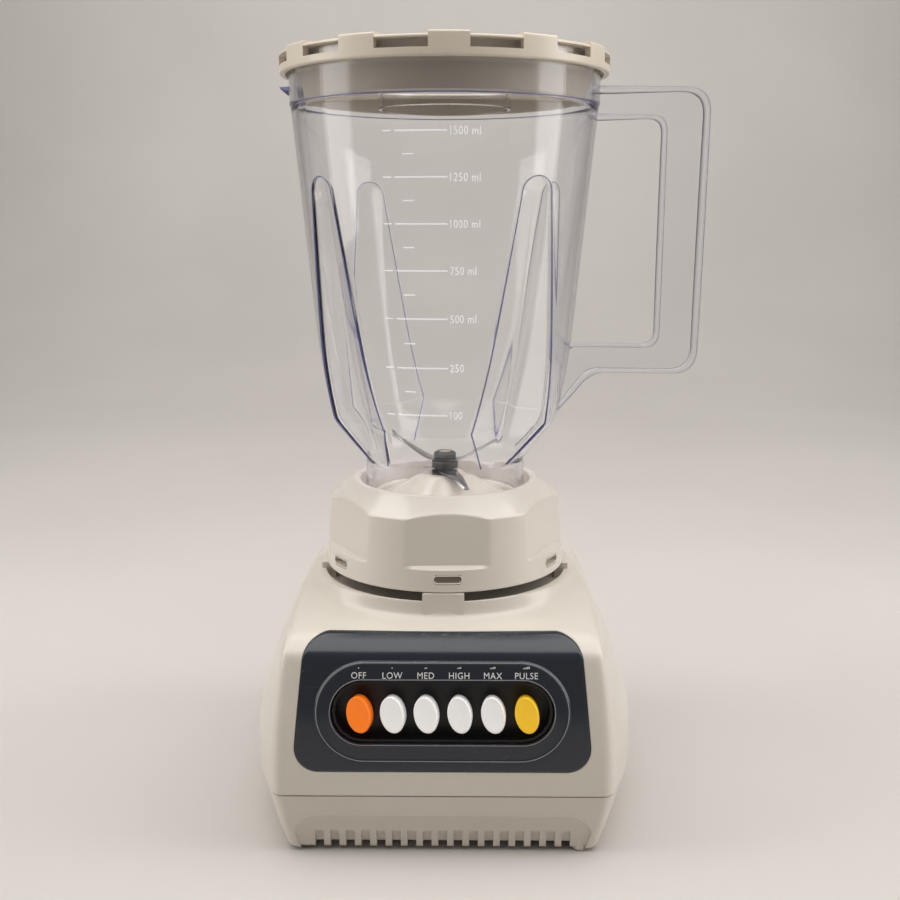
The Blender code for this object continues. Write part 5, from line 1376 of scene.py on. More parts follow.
@dataclass
class Base:
    """Upper and lower housing with their turret, vents and feet."""

    wall: float = 0.0005
    tray_radius: float = 0.0589
    tray_depth: float = 0.0047
    pad_width: float = 0.0189
    pad_rise: float = 0.0034
    boss_rise: float = 0.0053
    pad_inner: float = 0.0535
    pad_reach: float = 0.0608
    boss_radius: float = 0.0240
    boss_bore: float = 0.0120
    slot_count: int = 17
    slot_pitch: float = 0.00686
    slot_width: float = 0.0039
    slot_top: float = 0.0086
    slot_depth: float = 0.0078
    comb_half: float = 0.0695
    arch_half: float = 0.0660
    arch_top: float = 0.0166
    arch_corner: float = 0.0110
    arch_depth: float = 0.0013

    def __post_init__(self) -> None:
        """Reads the two housings' places from the frame."""
        low, high = lowest("upper_housing"), highest("upper_housing")
        half_depth = -lowest("control_panel")[1] - 0.0004
        self.upper = BaseShape(low[2], high[2] - self.boss_rise, high[0], max(half_depth, high[1]),
                               UPPER_STATIONS)
        self.lower = BaseShape(lowest("lower_housing")[2] - 0.0012, low[2], high[0],
                               self.upper.half_depth, LOWER_STATIONS)

    def upper_skin(self, panel: Panel, finish: bpy.types.Material) -> None:
        """Upper housing: outlines up the shell, the turret's crown and tray, and the panel's seat.

        Args:
            panel: the control panel, whose seat is left in the front.
            finish: the material.
        """
        shape = self.upper
        edge = 0.0005
        z = np.concatenate([np.linspace(shape.bottom + edge, 0.0865, 44),
                            np.linspace(0.0875, shape.top - 0.0004, 58)])
        w = np.linspace(0, 1, 5)
        foot = shape.ring(shape.bottom + edge * (w**2), edge * (1 - w) ** 2)[:-1]
        body = shape.ring(z)
        crown = shape.ring(np.full(5, shape.top), 0.0004 * w**2, shape.top - 0.0004 * (1 - w) ** 2)
        angle = np.arctan2(crown[-1, :, 1], crown[-1, :, 0])
        top, floor = shape.top, shape.top - self.tray_depth
        boss_top = highest("upper_housing")[2]
        profile = filleted([(self.tray_radius + 0.0002, top, 0), (self.tray_radius, top, 0.0002),
                            (self.tray_radius, floor, 0.0012),
                            (self.boss_radius, floor, 0.0015),
                            (self.boss_radius - 0.0004, boss_top, 0.0008),
                            (self.boss_bore, boss_top, 0.0008), (self.boss_bore, floor - 0.002, 0)],
                            closed=False)
        profile = supported(profile, 0.0008, closed=False)
        tray = turned(profile, angle)
        rows = np.concatenate([foot, body, crown, tray])
        first = len(foot)
        low_row = first + int(np.searchsorted(z, panel.low - 0.0048))
        high_row = first + int(np.searchsorted(z, panel.high + 0.0026))
        middle, reach = shape.front_column, shape.face_columns - 1
        left, right = middle - reach, middle + reach
        keep = np.ones(rows.shape[:2], bool)
        keep[low_row:high_row, left:right] = False
        skin = Skin()
        index = skin.grid(rows, keep=keep)
        loop = np.concatenate([index[low_row, left:right], index[low_row:high_row, right],
                               index[high_row, right:left:-1], index[high_row:low_row:-1, left]])
        share = (np.arange(rows.shape[1]) - middle) / shape.face_columns
        grid_z = np.broadcast_to(rows[:, :1, 2], rows.shape[:2])
        crease = shape.sizes(rows[:, 0, 2])[2] - shape.crease_cut
        grid_x = share[None] * crease[:, None]
        chosen = np.searchsorted(index.ravel(), loop)
        seen = np.stack([grid_x.ravel()[chosen], grid_z.ravel()[chosen]], axis=1)
        picked = panel.outline.nearest(seen)
        start = panel.outline.grown(1.0 * MM, picked)
        rings = [shape.face(*(seen + (start - seen) * s).T) for s in np.linspace(0, 1, 7)[1:]]
        for grow, out in ((0.45, 0.0), (0.2, -0.04), (0.05, -0.14), (0.0, -0.4), (0.0, -2.4)):
            rings.append(panel.on_face(panel.outline.grown(grow * MM, picked), out * MM))
        inner = skin.add(np.array(rings))
        skin.join(np.concatenate([loop[None], inner]), True, False)
        piece = place("upper_shell", skin.mesh("upper_shell"), finish, "base", ["upper_housing"])
        thickened(piece, self.wall)

    def pads(self, finish: bpy.types.Material) -> None:
        """Four pads on the turret's rim: blocks between the tray and the outside of the turret.

        The section of a pad is a closed outline of (share of the way out, height), carried
        across the pad's width.

        Args:
            finish: the material.
        """
        shape = self.upper
        floor, top = shape.top - self.tray_depth, shape.top + self.pad_rise
        outline = filleted([(0.0, floor - 0.001, 0), (1.0, floor - 0.001, 0), (1.0, top, 0.0012),
                            (0.0, top, 0.0006)], 5)
        soft = np.array([0.0, 0.12, 0.35, 0.7, 1.3, 2.2]) * MM
        across = np.concatenate([-self.pad_width / 2 + soft, self.pad_width / 2 - soft[::-1]])
        drop = 0.0005 * (1 - soft / 0.0013).clip(0) ** 2
        inset = np.concatenate([drop, drop[::-1]])
        for name, turn in (("right", 0.0), ("back", 90.0), ("left", 180.0), ("front", 270.0)):
            w, d, _, _ = shape.sizes(np.clip(outline[:, 1], shape.bottom, shape.top))
            beside = name in ("left", "right")
            reach, other = (np.minimum(w, self.pad_reach), d) if beside else (d, w)
            t = across[:, None]
            out = reach[None] * np.sqrt(1 - (t / other[None]) ** 2) + 0.04 * MM
            radial = self.pad_inner + (out - self.pad_inner) * outline[None, :, 0]
            height = outline[None, :, 1] - inset[:, None] * (outline[None, :, 1] > shape.top)
            x, y = swung(radial, t, math.radians(turn))
            closed_piece("collar_pad_" + name, np.stack([x, y, height + 0 * x], axis=-1), finish,
                         "base", capped=True)

    def lower_skin(self, finish: bpy.types.Material) -> None:
        """Lower housing: outlines from the floor's inside out and up, with the arch and comb of slots.

        Columns and rows stand doubled at the slots' edges, and the inner ones are pushed back.

        Args:
            finish: the material.
        """
        shape = self.lower
        top = shape.top - 0.0003
        edge = 0.0005
        slot_z = shape.bottom + self.slot_top
        z = np.concatenate([np.linspace(shape.bottom + 0.0012, slot_z, 14),
                            np.linspace(slot_z, top - edge, 44)])
        w = np.linspace(0, 1, 5)
        under = shape.ring(np.full(5, shape.bottom), [0.0300, 0.0140, 0.0110, 0.0030, 0.0009])
        heel = shape.ring(np.full(5, shape.bottom), 0.0008 * (1 - w) ** 2, shape.bottom + 0.0012 * w**2)
        body = shape.ring(z)
        rim = shape.ring(np.full(5, top), edge * w**2, top - edge * (1 - w) ** 2)
        inside = shape.ring(np.array([top, shape.bottom + 0.0025]), [0.003, 0.003])
        inside[0, :, 2] = top
        rows = np.concatenate([under, heel[:-1], body, rim[1:], inside])
        rows = self.comb(rows, len(under) + len(heel) - 1, 14)
        skin = Skin()
        index = skin.grid(rows)
        skin.cap(index[0])
        skin.cap(index[-1])
        piece = place("lower_shell", skin.mesh("lower_shell"), finish, "base", ["lower_housing"])
        bevelled(piece, 0.00022, 50.0)

    def comb(self, rows: Array, first: int, slot_rows: int) -> Array:
        """Rows with the slots' columns inserted and the arch and slots pushed in.

        Args:
            rows: the outlines, rows by columns.
            first: index of the first row of the wall.
            slot_rows: number of rows below the slots' upper edge.

        Returns:
            The wider grid of points.
        """
        shape = self.lower
        middle, count = shape.front_column, shape.face_columns
        left, right = middle - count, middle + count
        reach = (shape.sizes(rows[:, 0, 2])[2] - shape.crease_cut)[:, None]
        k = np.arange(self.slot_count) - (self.slot_count - 1) / 2
        across = np.array([-1, -1, -0.5, 0, 0.5, 1, 1]) * self.slot_width / 2
        edges = (k[:, None] * self.slot_pitch + across).ravel()
        sunk = np.tile([0, 1, 1, 1, 1, 1, 0], self.slot_count)
        between = (k[:-1, None] + 0.5) * self.slot_pitch + np.array([-0.7, 0.7]) * MM
        outer = np.linspace(edges[-1] + 0.8 * MM, self.comb_half, 24)
        x = np.concatenate([-outer, edges, between.ravel(), outer])
        sunk = np.concatenate([0 * outer, sunk, 0 * between.ravel(), 0 * outer])
        order = np.lexsort((np.arange(len(x)), np.round(x, 7)))
        x, sunk = x[order], sunk[order]
        scale = np.clip(reach / reach.max(), 0, 1)
        past = ((np.abs(x) - edges[-1]) / (self.comb_half - edges[-1])).clip(0)[None]
        new_x = x[None] * (1 - (1 - scale) * past)
        front = rows[:, middle, 1][:, None] + 0 * new_x
        height = rows[:, middle, 2][:, None] + 0 * new_x
        arch = self.arch_mask(new_x, height)
        number = np.arange(len(rows))[:, None]
        outside = (number >= 3) & (number < len(rows) - 2)
        low = (number >= 2) & (number < first + slot_rows)
        push = self.arch_depth * arch * outside + self.slot_depth * sunk[None] * low
        room = np.abs(front - rows[1, middle, 1]) - 0.0004 * (len(rows) - number) / len(rows)
        push = np.minimum(push, room)
        strip = np.stack([new_x, front + push, height], axis=-1)
        return np.concatenate([rows[:, :left + 1], strip, rows[:, right:]], axis=1)

    def arch_mask(self, x: Array, z: Array) -> Array:
        """1 inside the arched panel of the vents and 0 outside, with a short slope between.

        Args:
            x: places across.
            z: heights.

        Returns:
            The mask.
        """
        top, corner = self.lower.bottom + self.arch_top, self.arch_corner
        dx, dz = np.abs(x) - (self.arch_half - corner), z - (top - corner)
        outside = np.hypot(dx.clip(0), dz.clip(0)) + np.minimum(np.maximum(dx, dz), 0) - corner
        return 1 - ease(outside, -0.0004, 0.0003)

    def peg(self, finish: bpy.types.Material) -> None:
        """Small moulded peg beside the vents, turned from a rounded section.

        Args:
            finish: the material.
        """
        low = self.lower.bottom - 0.0014
        profile = filleted([(0.0, low, 0), (0.0032, low, 0.0008), (0.0036, low + 0.0070, 0.0004),
                            (0.0, low + 0.0070, 0)], closed=False)
        skin = Skin()
        skin.grid(turned(profile, whole_turn(40)) + np.array([0.0612, -0.0795, 0.0]))
        place("housing_peg", skin.mesh("housing_peg"), finish, "base")

    def feet(self, finish: bpy.types.Material) -> None:
        """Four rubber feet with rounded edges and a ring moulded in their soles.

        Args:
            finish: the material.
        """
        for row in ("front", "back"):
            for side in ("left", "right"):
                node = f"foot_{row}_{side}"
                low, high = lowest(node), highest(node)
                radius = (high[0] - low[0]) / 2
                profile = filleted([(0.0, low[2] + 0.0003, 0), (radius * 0.45, low[2] + 0.0003, 0.0003),
                                    (radius * 0.5, low[2], 0.0002),
                                    (radius * 0.86, low[2], 0.0007), (radius, low[2] + 0.0012, 0.0008),
                                    (radius, high[2], 0.0002), (0.0, high[2], 0)], closed=False)
                points = turned(profile, whole_turn(48)) + np.array([*((low + high) / 2)[:2], 0.0])
                skin = Skin()
                skin.grid(points)
                place(node + "_pad", skin.mesh(node + "_pad"), finish, "base", [node])


# ---------------------------------------------------------------- collar and blades
@dataclass
class Collar:
    """Screw collar: a turned shell with six flats, each with a ledge and a slot below it."""

    flats: int = 6
    flat_turn: float = math.radians(32)
    flat_radius: float = 0.0538
    flat_lean: float = 0.068
    flat_rise: float = 0.0105
    shoulder_radius: float = 0.0556
    shoulder_drop: float = 0.0090
    lip_radius: float = 0.0457
    bore: float = 0.0413
    skirt_inner: float = 0.0512
    tube_wall: float = 0.0030
    ledge_bore: float = 0.0345
    ledge_rise: float = 0.0146
    ledge_thick: float = 0.0030
    slot: RoundedOutline = RoundedOutline(((-0.00485, 0.0059), (0.00485, 0.0059)), 0.00155)
    slot_depth: float = 0.0064

    def columns(self) -> Array:
        """Angles of the columns: close together across each slot, wider between them.

        Returns:
            The angles, rising.
        """
        pitch = 2 * math.pi / self.flats
        near = math.radians(8.2)
        one = np.concatenate([np.linspace(-near, near, 46), np.linspace(near, pitch - near, 62)[1:-1]])
        return (self.flat_turn + np.arange(self.flats)[:, None] * pitch + one[None]).ravel()

    def build(self, finish: bpy.types.Material) -> None:
        """The collar's surface, and a fine bead round each slot.

        The radius is the smaller of the turned profile's and the flat's, which is the flat's
        distance divided by the cosine of the angle from its middle, with a soft corner.

        Args:
            finish: the material.
        """
        low, high = lowest("collar")[2], highest("collar")[2]
        bottom = highest("collar")[0]
        shoulder = high - self.shoulder_drop
        outer = filleted([(bottom - 0.0012, low, 0), (bottom, low, 0.0007),
                          (bottom - 0.0010, low + self.flat_rise, 0.002),
                          (self.shoulder_radius, shoulder, 0.0007),
                          (self.lip_radius, high - 0.0016, 0.0022),
                          (self.lip_radius - 0.0020, high, 0.0012), (self.bore, high - 0.0006, 0.0008),
                          (self.bore, high - 0.004, 0)], 8, False)
        outer = self.dense(outer, low)
        ledge = low + self.ledge_rise
        tube = self.bore + self.tube_wall
        ledge_top = ledge + self.ledge_thick
        inner = np.array([(self.bore, ledge_top), (self.ledge_bore, ledge_top),
                          (self.ledge_bore, ledge), (tube, ledge), (tube, shoulder + self.tube_wall),
                          (self.skirt_inner - 0.001, shoulder - self.tube_wall / 2),
                          (self.skirt_inner, low)])
        angles = self.columns()
        grid = turned(np.concatenate([outer, inner]), angles)
        pitch = 2 * math.pi / self.flats
        off = from_middle(angles - self.flat_turn, pitch)
        radius, z = np.hypot(grid[..., 0], grid[..., 1]), grid[..., 2]
        flat = (self.flat_radius - self.flat_lean * (z - low - self.flat_rise)) / np.cos(off)[None]
        cut = soft_min(radius, flat, 0.0004)
        share = ((z - low - self.flat_rise + 0.0004) / 0.0013).clip(0, 1)
        rows = (np.arange(len(grid)) < len(outer))[:, None]
        shaped = np.where(rows, radius + (cut - radius) * share, radius)
        away = self.slot.distance(off[None] * bottom, z - low)
        sunk = self.slot_depth * (1 - ease(away, -0.00022, 0.00008)) * (z < low + self.flat_rise)
        shaped = np.where(rows, shaped - sunk, shaped)
        grid = np.stack([shaped * np.cos(angles), shaped * np.sin(angles), z], axis=-1)
        closed_piece("collar_shell", grid, finish, "collar", ["collar"], 50)
        rim = RoundedOutline(self.slot.corners[::-1], self.slot.radius, 16, 14).grown(0.00012)
        radius = bottom - 0.0010 * rim[:, 1] / self.flat_rise - 0.00008
        for k in range(self.flats):
            angle = self.flat_turn + k * pitch + rim[:, 0] / bottom
            path = np.stack([radius * np.cos(angle), radius * np.sin(angle), low + rim[:, 1]], axis=1)
            carried_bead(f"slot_rim_{k + 1}", path, np.full(len(rim), 0.00024), finish, "collar",
                         True)

    def dense(self, profile: Array, low: float) -> Array:
        """The outer profile with rows close together at the slots and at the flats' ledge.

        Args:
            profile: the outer section, from the lower edge up.
            low: height of the lower edge.

        Returns:
            The section with more points.
        """
        length = np.concatenate([[0], np.cumsum(np.linalg.norm(np.diff(profile, axis=0), axis=1))])
        want = np.unique(np.concatenate([length, np.arange(0, length[-1], 0.0009)]))
        z = np.interp(want, length, profile[:, 1])
        slot_z = np.arange(low + 0.0039, low + 0.0079, 0.00017)
        ledge_z = low + self.flat_rise + np.linspace(-0.0006, 0.0011, 12)
        first = length[np.argmax(profile[:, 1] > low + 0.0009)]
        rising = want > first
        count = int(rising.sum() * 0.55)
        reach = np.interp(np.concatenate([slot_z, ledge_z]), z[rising][:count], want[rising][:count])
        want = np.unique(np.round(np.concatenate([want, reach]), 7))
        return np.stack([np.interp(want, length, profile[:, 0]),
                         np.interp(want, length, profile[:, 1])], axis=1)


@dataclass
class BladeUnit:
    """Cone, hub, blades and nut at the foot of the jug."""

    reach: float = 0.0270
    width: float = 0.0090
    thick: float = 0.0013
    rise: float = 0.0118
    drop: float = 0.0048
    hole: float = 0.0034

    def build(self, finishes: Finishes) -> None:
        """Makes the cone, both blades, the spacer and the nut.

        Args:
            finishes: every material, by name.
        """
        self.cone(finishes["blade_base"])
        steel, dark = finishes["blade_steel"], finishes["dark_steel"]
        upper, lower = lowest("upper_blade"), highest("lower_blade")
        self.blade("upper_wing", upper[2], self.rise, math.radians(165), steel, ["upper_blade"])
        self.blade("lower_wing", lower[2] - self.thick, -self.drop, math.radians(-70), steel,
                   ["lower_blade"])
        self.ring("spacer_block", "blade_spacer", dark, 0.0005)
        self.nut("nut_dome", dark)

    def cone(self, finish: bpy.types.Material) -> None:
        """Cone of the blade base: the CAD section with a hollow foot, a soft shoulder and hub.

        Args:
            finish: the material.
        """
        low, high = lowest("blade_base")[2], highest("blade_base")[2]
        rim, tube, inner = highest("blade_base")[0], 0.0066, 0.0309
        under, over = low + 0.0168, low + 0.0193
        profile = filleted([(0.0102, low, 0.0006), (0.0104, high - 0.0052, 0.001),
                            (inner, high - 0.0161, 0.001), (inner, under, 0.0004),
                            (rim, under, 0.0004), (rim, over, 0.0004),
                            (0.0348, over, 0.0015), (0.0335, high - 0.0135, 0.0015),
                            (0.0228, high - 0.0070, 0.004), (0.0118, high - 0.0002, 0.0016),
                            (0.0098, high, 0.0006), (tube, high, 0.0004), (tube, low, 0.0003)], 7)
        closed_piece("cone_base", turned(supported(profile, 0.0006), whole_turn(128)), finish,
                     "blade_unit", ["blade_base"])

    def blade(self, name: str, z: float, tip: float, turn: float, finish: bpy.types.Material,
              stands_for: list[str]) -> None:
        """A blade: a ground section carried along a strip that bends up or down towards its tips.

        The strip rises by tip * s^1.15 and narrows by 0.70 s^1.2, where s is the share of the
        way from the hub to the tip. The section is a flat bar with both edges ground thin.

        Args:
            name: the piece's name.
            z: height of the underside at the hub.
            tip: how far the tips bend up.
            turn: angle of the strip about the axis.
            finish: the material.
            stands_for: the CAD nodes that it stands for.
        """
        hub = 0.27
        share = np.linspace(-1, 1, 61)
        out = np.clip((np.abs(share) - hub) / (1 - hub), 0, 1)
        height = tip * out**1.15
        half = self.width / 2 * (1 - 0.70 * out**1.2)
        skew = np.sign(share) * 0.0012 * out
        section = np.array([(-1, 0.42), (-0.98, 0.58), (-0.55, 1.0), (0.0, 1.0), (0.55, 1.0),
                            (0.98, 0.58), (1, 0.42), (0.6, 0.0), (0.0, 0.0), (-0.6, 0.0)])
        x = share[:, None] * self.reach + 0 * section[None, :, 0]
        y = half[:, None] * section[None, :, 0] + skew[:, None]
        lift = z + height[:, None] + self.thick * section[None, :, 1]
        piece = closed_piece(name, np.stack([*swung(x, y, turn), lift], axis=-1), finish,
                             "blade_rotor", stands_for, 24, capped=True)
        bevelled(piece, 0.00008, 30.0, 1)

    def ring(self, name: str, node: str, finish: bpy.types.Material, cut: float) -> None:
        """A ring with six softened sides, in the box of its CAD node.

        Args:
            name: the piece's name.
            node: the CAD node that it stands for.
            finish: the material.
            cut: reach of its rounded edges.
        """
        low, high = lowest(node), highest(node)
        radius = high[0]
        profile = filleted([(self.hole, low[2], 0), (radius, low[2], cut), (radius, high[2], cut),
                            (self.hole, high[2], 0)])
        angles = whole_turn(96)
        off = from_middle(angles, math.pi / 3)
        grid = turned(profile, angles)
        grid[..., :2] *= soft_min(np.ones_like(off), 0.93 / np.cos(off), 0.03)[None, :, None]
        closed_piece(name, grid, finish, "blade_rotor", [node])

    def nut(self, name: str, finish: bpy.types.Material) -> None:
        """Domed nut with six flats.

        Args:
            name: the piece's name.
            finish: the material.
        """
        low, high = lowest("blade_nut"), highest("blade_nut")
        radius = high[0]
        profile = filleted([(0.0033, low[2], 0), (radius, low[2], 0.0003),
                            (radius, low[2] + 0.0014, 0.0006), (radius * 0.72, high[2], 0.0006),
                            (0.0033, high[2], 0.0003)])
        angles = whole_turn(96)
        off = from_middle(angles, math.pi / 3)
        grid = turned(profile, angles)
        radial = np.hypot(grid[..., 0], grid[..., 1])
        grid[..., :2] *= (soft_min(radial, 0.9 * radius / np.cos(off)[None] + 0 * radial,
                                   0.0004) / radial)[..., None]
        closed_piece(name, grid, finish, "blade_rotor", ["blade_nut"])


# ---------------------------------------------------------------- jug
@dataclass
class Jug:
    """Clear jug: tapered wall with four flutes, a neck with a thread, a spout and a handle."""

    wall: float = 0.0025
    top_radius: float = 0.0705
    taper: float = 0.0963
    step: float = 0.0004
    step_drop: float = 0.0202
    tuck_rise: float = 0.0890
    tuck: float = 1.87
    corner_rise: float = 0.0480
    neck_rise: float = 0.0281
    neck_radius: float = 0.0382
    foot_radius: float = 0.0392
    thread_height: float = 0.0106
    flutes: int = 4
    flute_turn: float = math.radians(37)
    flute_drop: float = 0.0525
    flute_arch: float = 0.0070
    flute_depth: float = 0.0092
    arch_half: float = 0.0081
    flute_half: float = 0.0220
    foot_half: float = 0.0070
    handle_turn: float = math.radians(-5)
    spout_turn: float = math.radians(175)
    scale: tuple[tuple[float, str], ...] = (
        (0.1767, "1500 ml"), (0.1583, "1250 ml"), (0.1394, "1000 ml"), (0.1200, "750 ml"),
        (0.0997, "500 ml"), (0.0784, "250"), (0.0572, "100"))

    def __post_init__(self) -> None:
        """Reads the jug's place from the frame."""
        self.foot, self.rim = lowest("jug")[2], highest("jug")[2]
        self.corner, self.neck = self.foot + self.corner_rise, self.foot + self.neck_rise

    def radius(self, z: Array) -> Array:
        """Outer radius between the flutes: a straight taper that tucks in, a cone, then the neck.

        Args:
            z: the heights.

        Returns:
            The radius at each height.
        """
        z = np.asarray(z, float)
        share = (z - self.neck) / (self.corner - self.neck)
        cone = self.neck_radius + (self.tapered(self.corner) - self.neck_radius) * share
        fall = (self.neck - z) / (self.neck - self.foot)
        below = self.neck_radius + (self.foot_radius - self.neck_radius) * fall
        low = -soft_min(-cone, -below, 0.0012)
        return soft_min(self.tapered(z), low, 0.0010)

    def tapered(self, z: Array | float) -> Array:
        """Outer radius of the tall part: a straight taper, less the square of the way tucked in."""
        straight = self.top_radius - self.taper * np.maximum(self.rim - self.step_drop - z, 0)
        return straight - self.tuck * np.maximum(self.foot + self.tuck_rise - z, 0) ** 2

    def flute(self, z: Array) -> tuple[Array, Array]:
        """Half-width and depth of a flute at heights.

        Args:
            z: the heights.

        Returns:
            The half-widths and the depths.
        """
        drop = (self.rim - self.flute_drop - z).clip(0)
        whole = self.rim - self.flute_drop - self.corner
        share = ((z - self.neck) / (self.corner - self.neck)).clip(0, 1)
        arch = np.sqrt((1 - (1 - (drop / self.flute_arch).clip(0, 1)) ** 2).clip(0))
        widening = (drop - self.flute_arch) / (whole - self.flute_arch)
        half = np.where(drop < self.flute_arch, self.arch_half * arch,
                        self.arch_half + (self.flute_half - self.arch_half) * widening)
        half = np.where(z < self.corner, self.foot_half + (self.flute_half - self.foot_half) * share,
                        half)
        depth = self.flute_depth * (0.12 * arch + 0.88 * (drop / whole).clip(0, 1))
        return half, np.where(z < self.corner, depth * share, depth)

    def wall_grid(self, z: Array, inset: float) -> Array:
        """Grid of the wall at an inset, whose columns follow the outlines of the flutes.

        The distance q from a flute's middle, as a share of its half-width and softly held at 1,
        gives the depth d (0.55 (1 - q^2) + 0.45 (1 - |q|)) that the wall is pressed in.

        Args:
            z: the heights.
            inset: how far in the surface stands.

        Returns:
            A grid of points, a row for each height.
        """
        z = np.asarray(z, float)[:, None]
        radius = self.radius(z)
        half, depth = self.flute(z)
        edge = 1.25 * np.maximum(half, self.foot_half) / radius
        pitch = 2 * math.pi / self.flutes
        fine = np.array([0, 0.03, 0.07, 0.13, 0.22, 0.34, 0.46, 0.57, 0.65, 0.70, 0.735, 0.765, 0.79,
                         0.81, 0.83, 0.86, 0.92, 1])
        inside = np.concatenate([-fine[:0:-1], fine])[None]
        between = np.linspace(0, 1, 15)[None, 1:-1]
        one = np.concatenate([edge * inside, edge + (pitch - 2 * edge) * between], axis=1)
        angles = np.concatenate([self.flute_turn + k * pitch + one for k in range(self.flutes)], axis=1)
        off = np.tile(np.concatenate([edge * inside, np.full((len(z), between.shape[1]), 9.0)], axis=1),
                      self.flutes)
        q = np.abs(off) * radius / np.maximum(half, 1e-6)
        q = soft_min(np.sqrt(q * q + 0.004) - 0.02, np.ones_like(q), 0.09)
        pressed = depth * (0.55 * (1 - q * q) + 0.45 * (1 - q))
        reach = radius - pressed - inset
        return np.stack([reach * np.cos(angles), reach * np.sin(angles), z + 0 * angles], axis=-1)

    def build(self, finishes: Finishes) -> None:
        """The wall as one closed surface: up the outside, over the rim and down the inside.

        Args:
            finishes: every material, by name.
        """
        step_z = self.rim - self.step_drop
        thread_top = self.foot + self.thread_height
        flute_top = self.rim - self.flute_drop
        lift = np.concatenate([np.linspace(thread_top + 0.0016, self.neck - 0.002, 10),
                               np.linspace(self.neck - 0.0015, self.neck + 0.0015, 8),
                               np.linspace(self.neck + 0.0022, self.corner - 0.0018, 22),
                               np.linspace(self.corner - 0.0012, self.corner + 0.0012, 9),
                               np.linspace(self.corner + 0.002, flute_top - 0.014, 60),
                               np.linspace(flute_top - 0.0134, flute_top + 0.0006, 34),
                               np.linspace(flute_top + 0.003, step_z - 0.0003, 10)])
        outer = self.wall_grid(lift, 0.0)
        inner = self.wall_grid(lift[::-1], self.wall)
        angles = np.arctan2(outer[-1, :, 1], outer[-1, :, 0])
        top, mouth = self.top_radius + self.step, self.top_radius - self.wall
        head = filleted([(top, step_z, 0.0003), (top, self.rim, 0.0008), (mouth, self.rim, 0.0008),
                         (mouth, step_z, 0)], 6, False)
        head = turned(supported(head, 0.0008, False), angles)
        base_angles = np.unwrap(np.arctan2(outer[0, :, 1], outer[0, :, 0]))
        thread = self.thread(base_angles, thread_top)
        throat = self.foot_radius - self.wall
        tail = turned(np.array([(throat, thread_top), (throat, self.foot)]), base_angles)
        closed_piece("jug_wall", np.concatenate([thread, outer, head, inner, tail]),
                     finishes["jug_clear"], "jug", ["jug"], 60)
        self.handle(finishes["handle_clear"])
        self.spout(finishes["spout_clear"])
        self.lines(finishes["line"])

    def lines(self, finish: bpy.types.Material) -> None:
        """Fine blue beads, one round each flute's edge and one at the step: the blue is the plastic's own
        tint, and its strength along these edges is painted light, standing in for light gathered in the
        clear wall.

        A flute's bead goes up one edge, over the arch, where drop and half-width are those of
        a quarter of an ellipse, and down the other edge.

        Args:
            finish: the material.
        """
        top = self.rim - self.flute_drop
        rising = np.linspace(self.neck + 0.0008, top - self.flute_arch, 90)
        phase = np.linspace(0, math.pi / 2, 24)[1:]
        up = np.concatenate([rising, top - self.flute_arch * (1 - np.sin(phase))])
        half = np.concatenate([self.flute(rising)[0], self.arch_half * np.cos(phase)])
        z = np.concatenate([up, up[-2::-1]])
        shift = np.concatenate([-half, half[-2::-1]])
        radius = self.radius(z)
        thick = 0.00040 - 0.00016 * ease(z, top - 0.06, top)
        for k in range(self.flutes):
            angle = self.flute_turn + k * math.pi / 2 + shift / radius
            path = np.stack([radius * np.cos(angle), radius * np.sin(angle), z], axis=1)
            carried_bead(f"flute_line_{k + 1}", path, thick, finish, "jug", False)
        turn, step_z = whole_turn(160), self.rim - self.step_drop
        ring = np.stack([self.top_radius * np.cos(turn), self.top_radius * np.sin(turn),
                         step_z + 0 * turn], axis=1)
        carried_bead("step_line", ring, np.full(len(turn), 0.00028), finish, "jug", True)

    def thread(self, angles: Array, top: float) -> Array:
        """Neck with a screw thread, which fades out towards both ends.

        The radius swells halfway between whole pitches, counted up the neck less the share of a
        turn.

        Args:
            angles: angles of the wall's columns.
            top: height at which the thread ends.

        Returns:
            A grid of points.
        """
        pitch, swell = 0.0040, 0.0015
        z = np.linspace(self.foot, top + 0.001, 26)[:, None]
        phase = ((z - self.foot) / pitch - angles[None] / (2 * math.pi)) % 1.0 - 0.5
        fade = ease(z, self.foot + 0.0004, self.foot + 0.0022)
        fade = fade * (1 - ease(z, top - 0.0022, top - 0.0002))
        radius = self.foot_radius + swell * (1 - ease(np.abs(phase), 0.14, 0.30)) * fade
        return np.stack([radius * np.cos(angles), radius * np.sin(angles), z + 0 * angles], axis=-1)

    def handle_lines(self) -> tuple[Array, Array]:
        """Centre lines of the outer and the inner bead in the handle's plane, point for point.

        Returns:
            Two arrays of rows (distance from the axis, height).
        """
        top, bottom = self.rim - 0.0133, self.foot + 0.0708
        in_top, in_bottom = top - 0.0119, bottom + 0.0119
        root = 0.0012

        def wall(z: float) -> float:
            """Where the handle meets the wall."""
            return float(self.radius(np.array([z]))[0]) - root

        low_z = self.corner + 0.0030
        outer = [(wall(top), top, 0), (0.1191, top, 0.0110), (0.1174, bottom, 0.0110),
                 (0.0690, bottom, 0.0060), (wall(low_z), low_z, 0)]
        inner = [(wall(in_top), in_top, 0), (0.1003, in_top, 0.0070), (0.0999, in_bottom, 0.0070),
                 (wall(in_bottom) + 0.0004, in_bottom, 0.0016), (wall(low_z + 0.006), low_z + 0.006, 0)]
        return tuple(self.even(filleted(line, 12, False)) for line in (outer, inner))

    @staticmethod
    def even(line: Array) -> Array:
        """The line with more points on its straight stretches, the same number on any line.

        Args:
            line: a centre line with its rounded corners.

        Returns:
            The line with more points.
        """
        ends = [0, 1, 12, 13, 24, 25, 36, 37]
        pieces = []
        for a, b in zip(ends[:-1], ends[1:]):
            if b - a == 1:
                pieces.append(line[a] + (line[b] - line[a]) * np.linspace(0, 1, 20)[:-1, None])
            else:
                pieces.append(line[a:b])
        return np.concatenate([*pieces, line[-1:]])

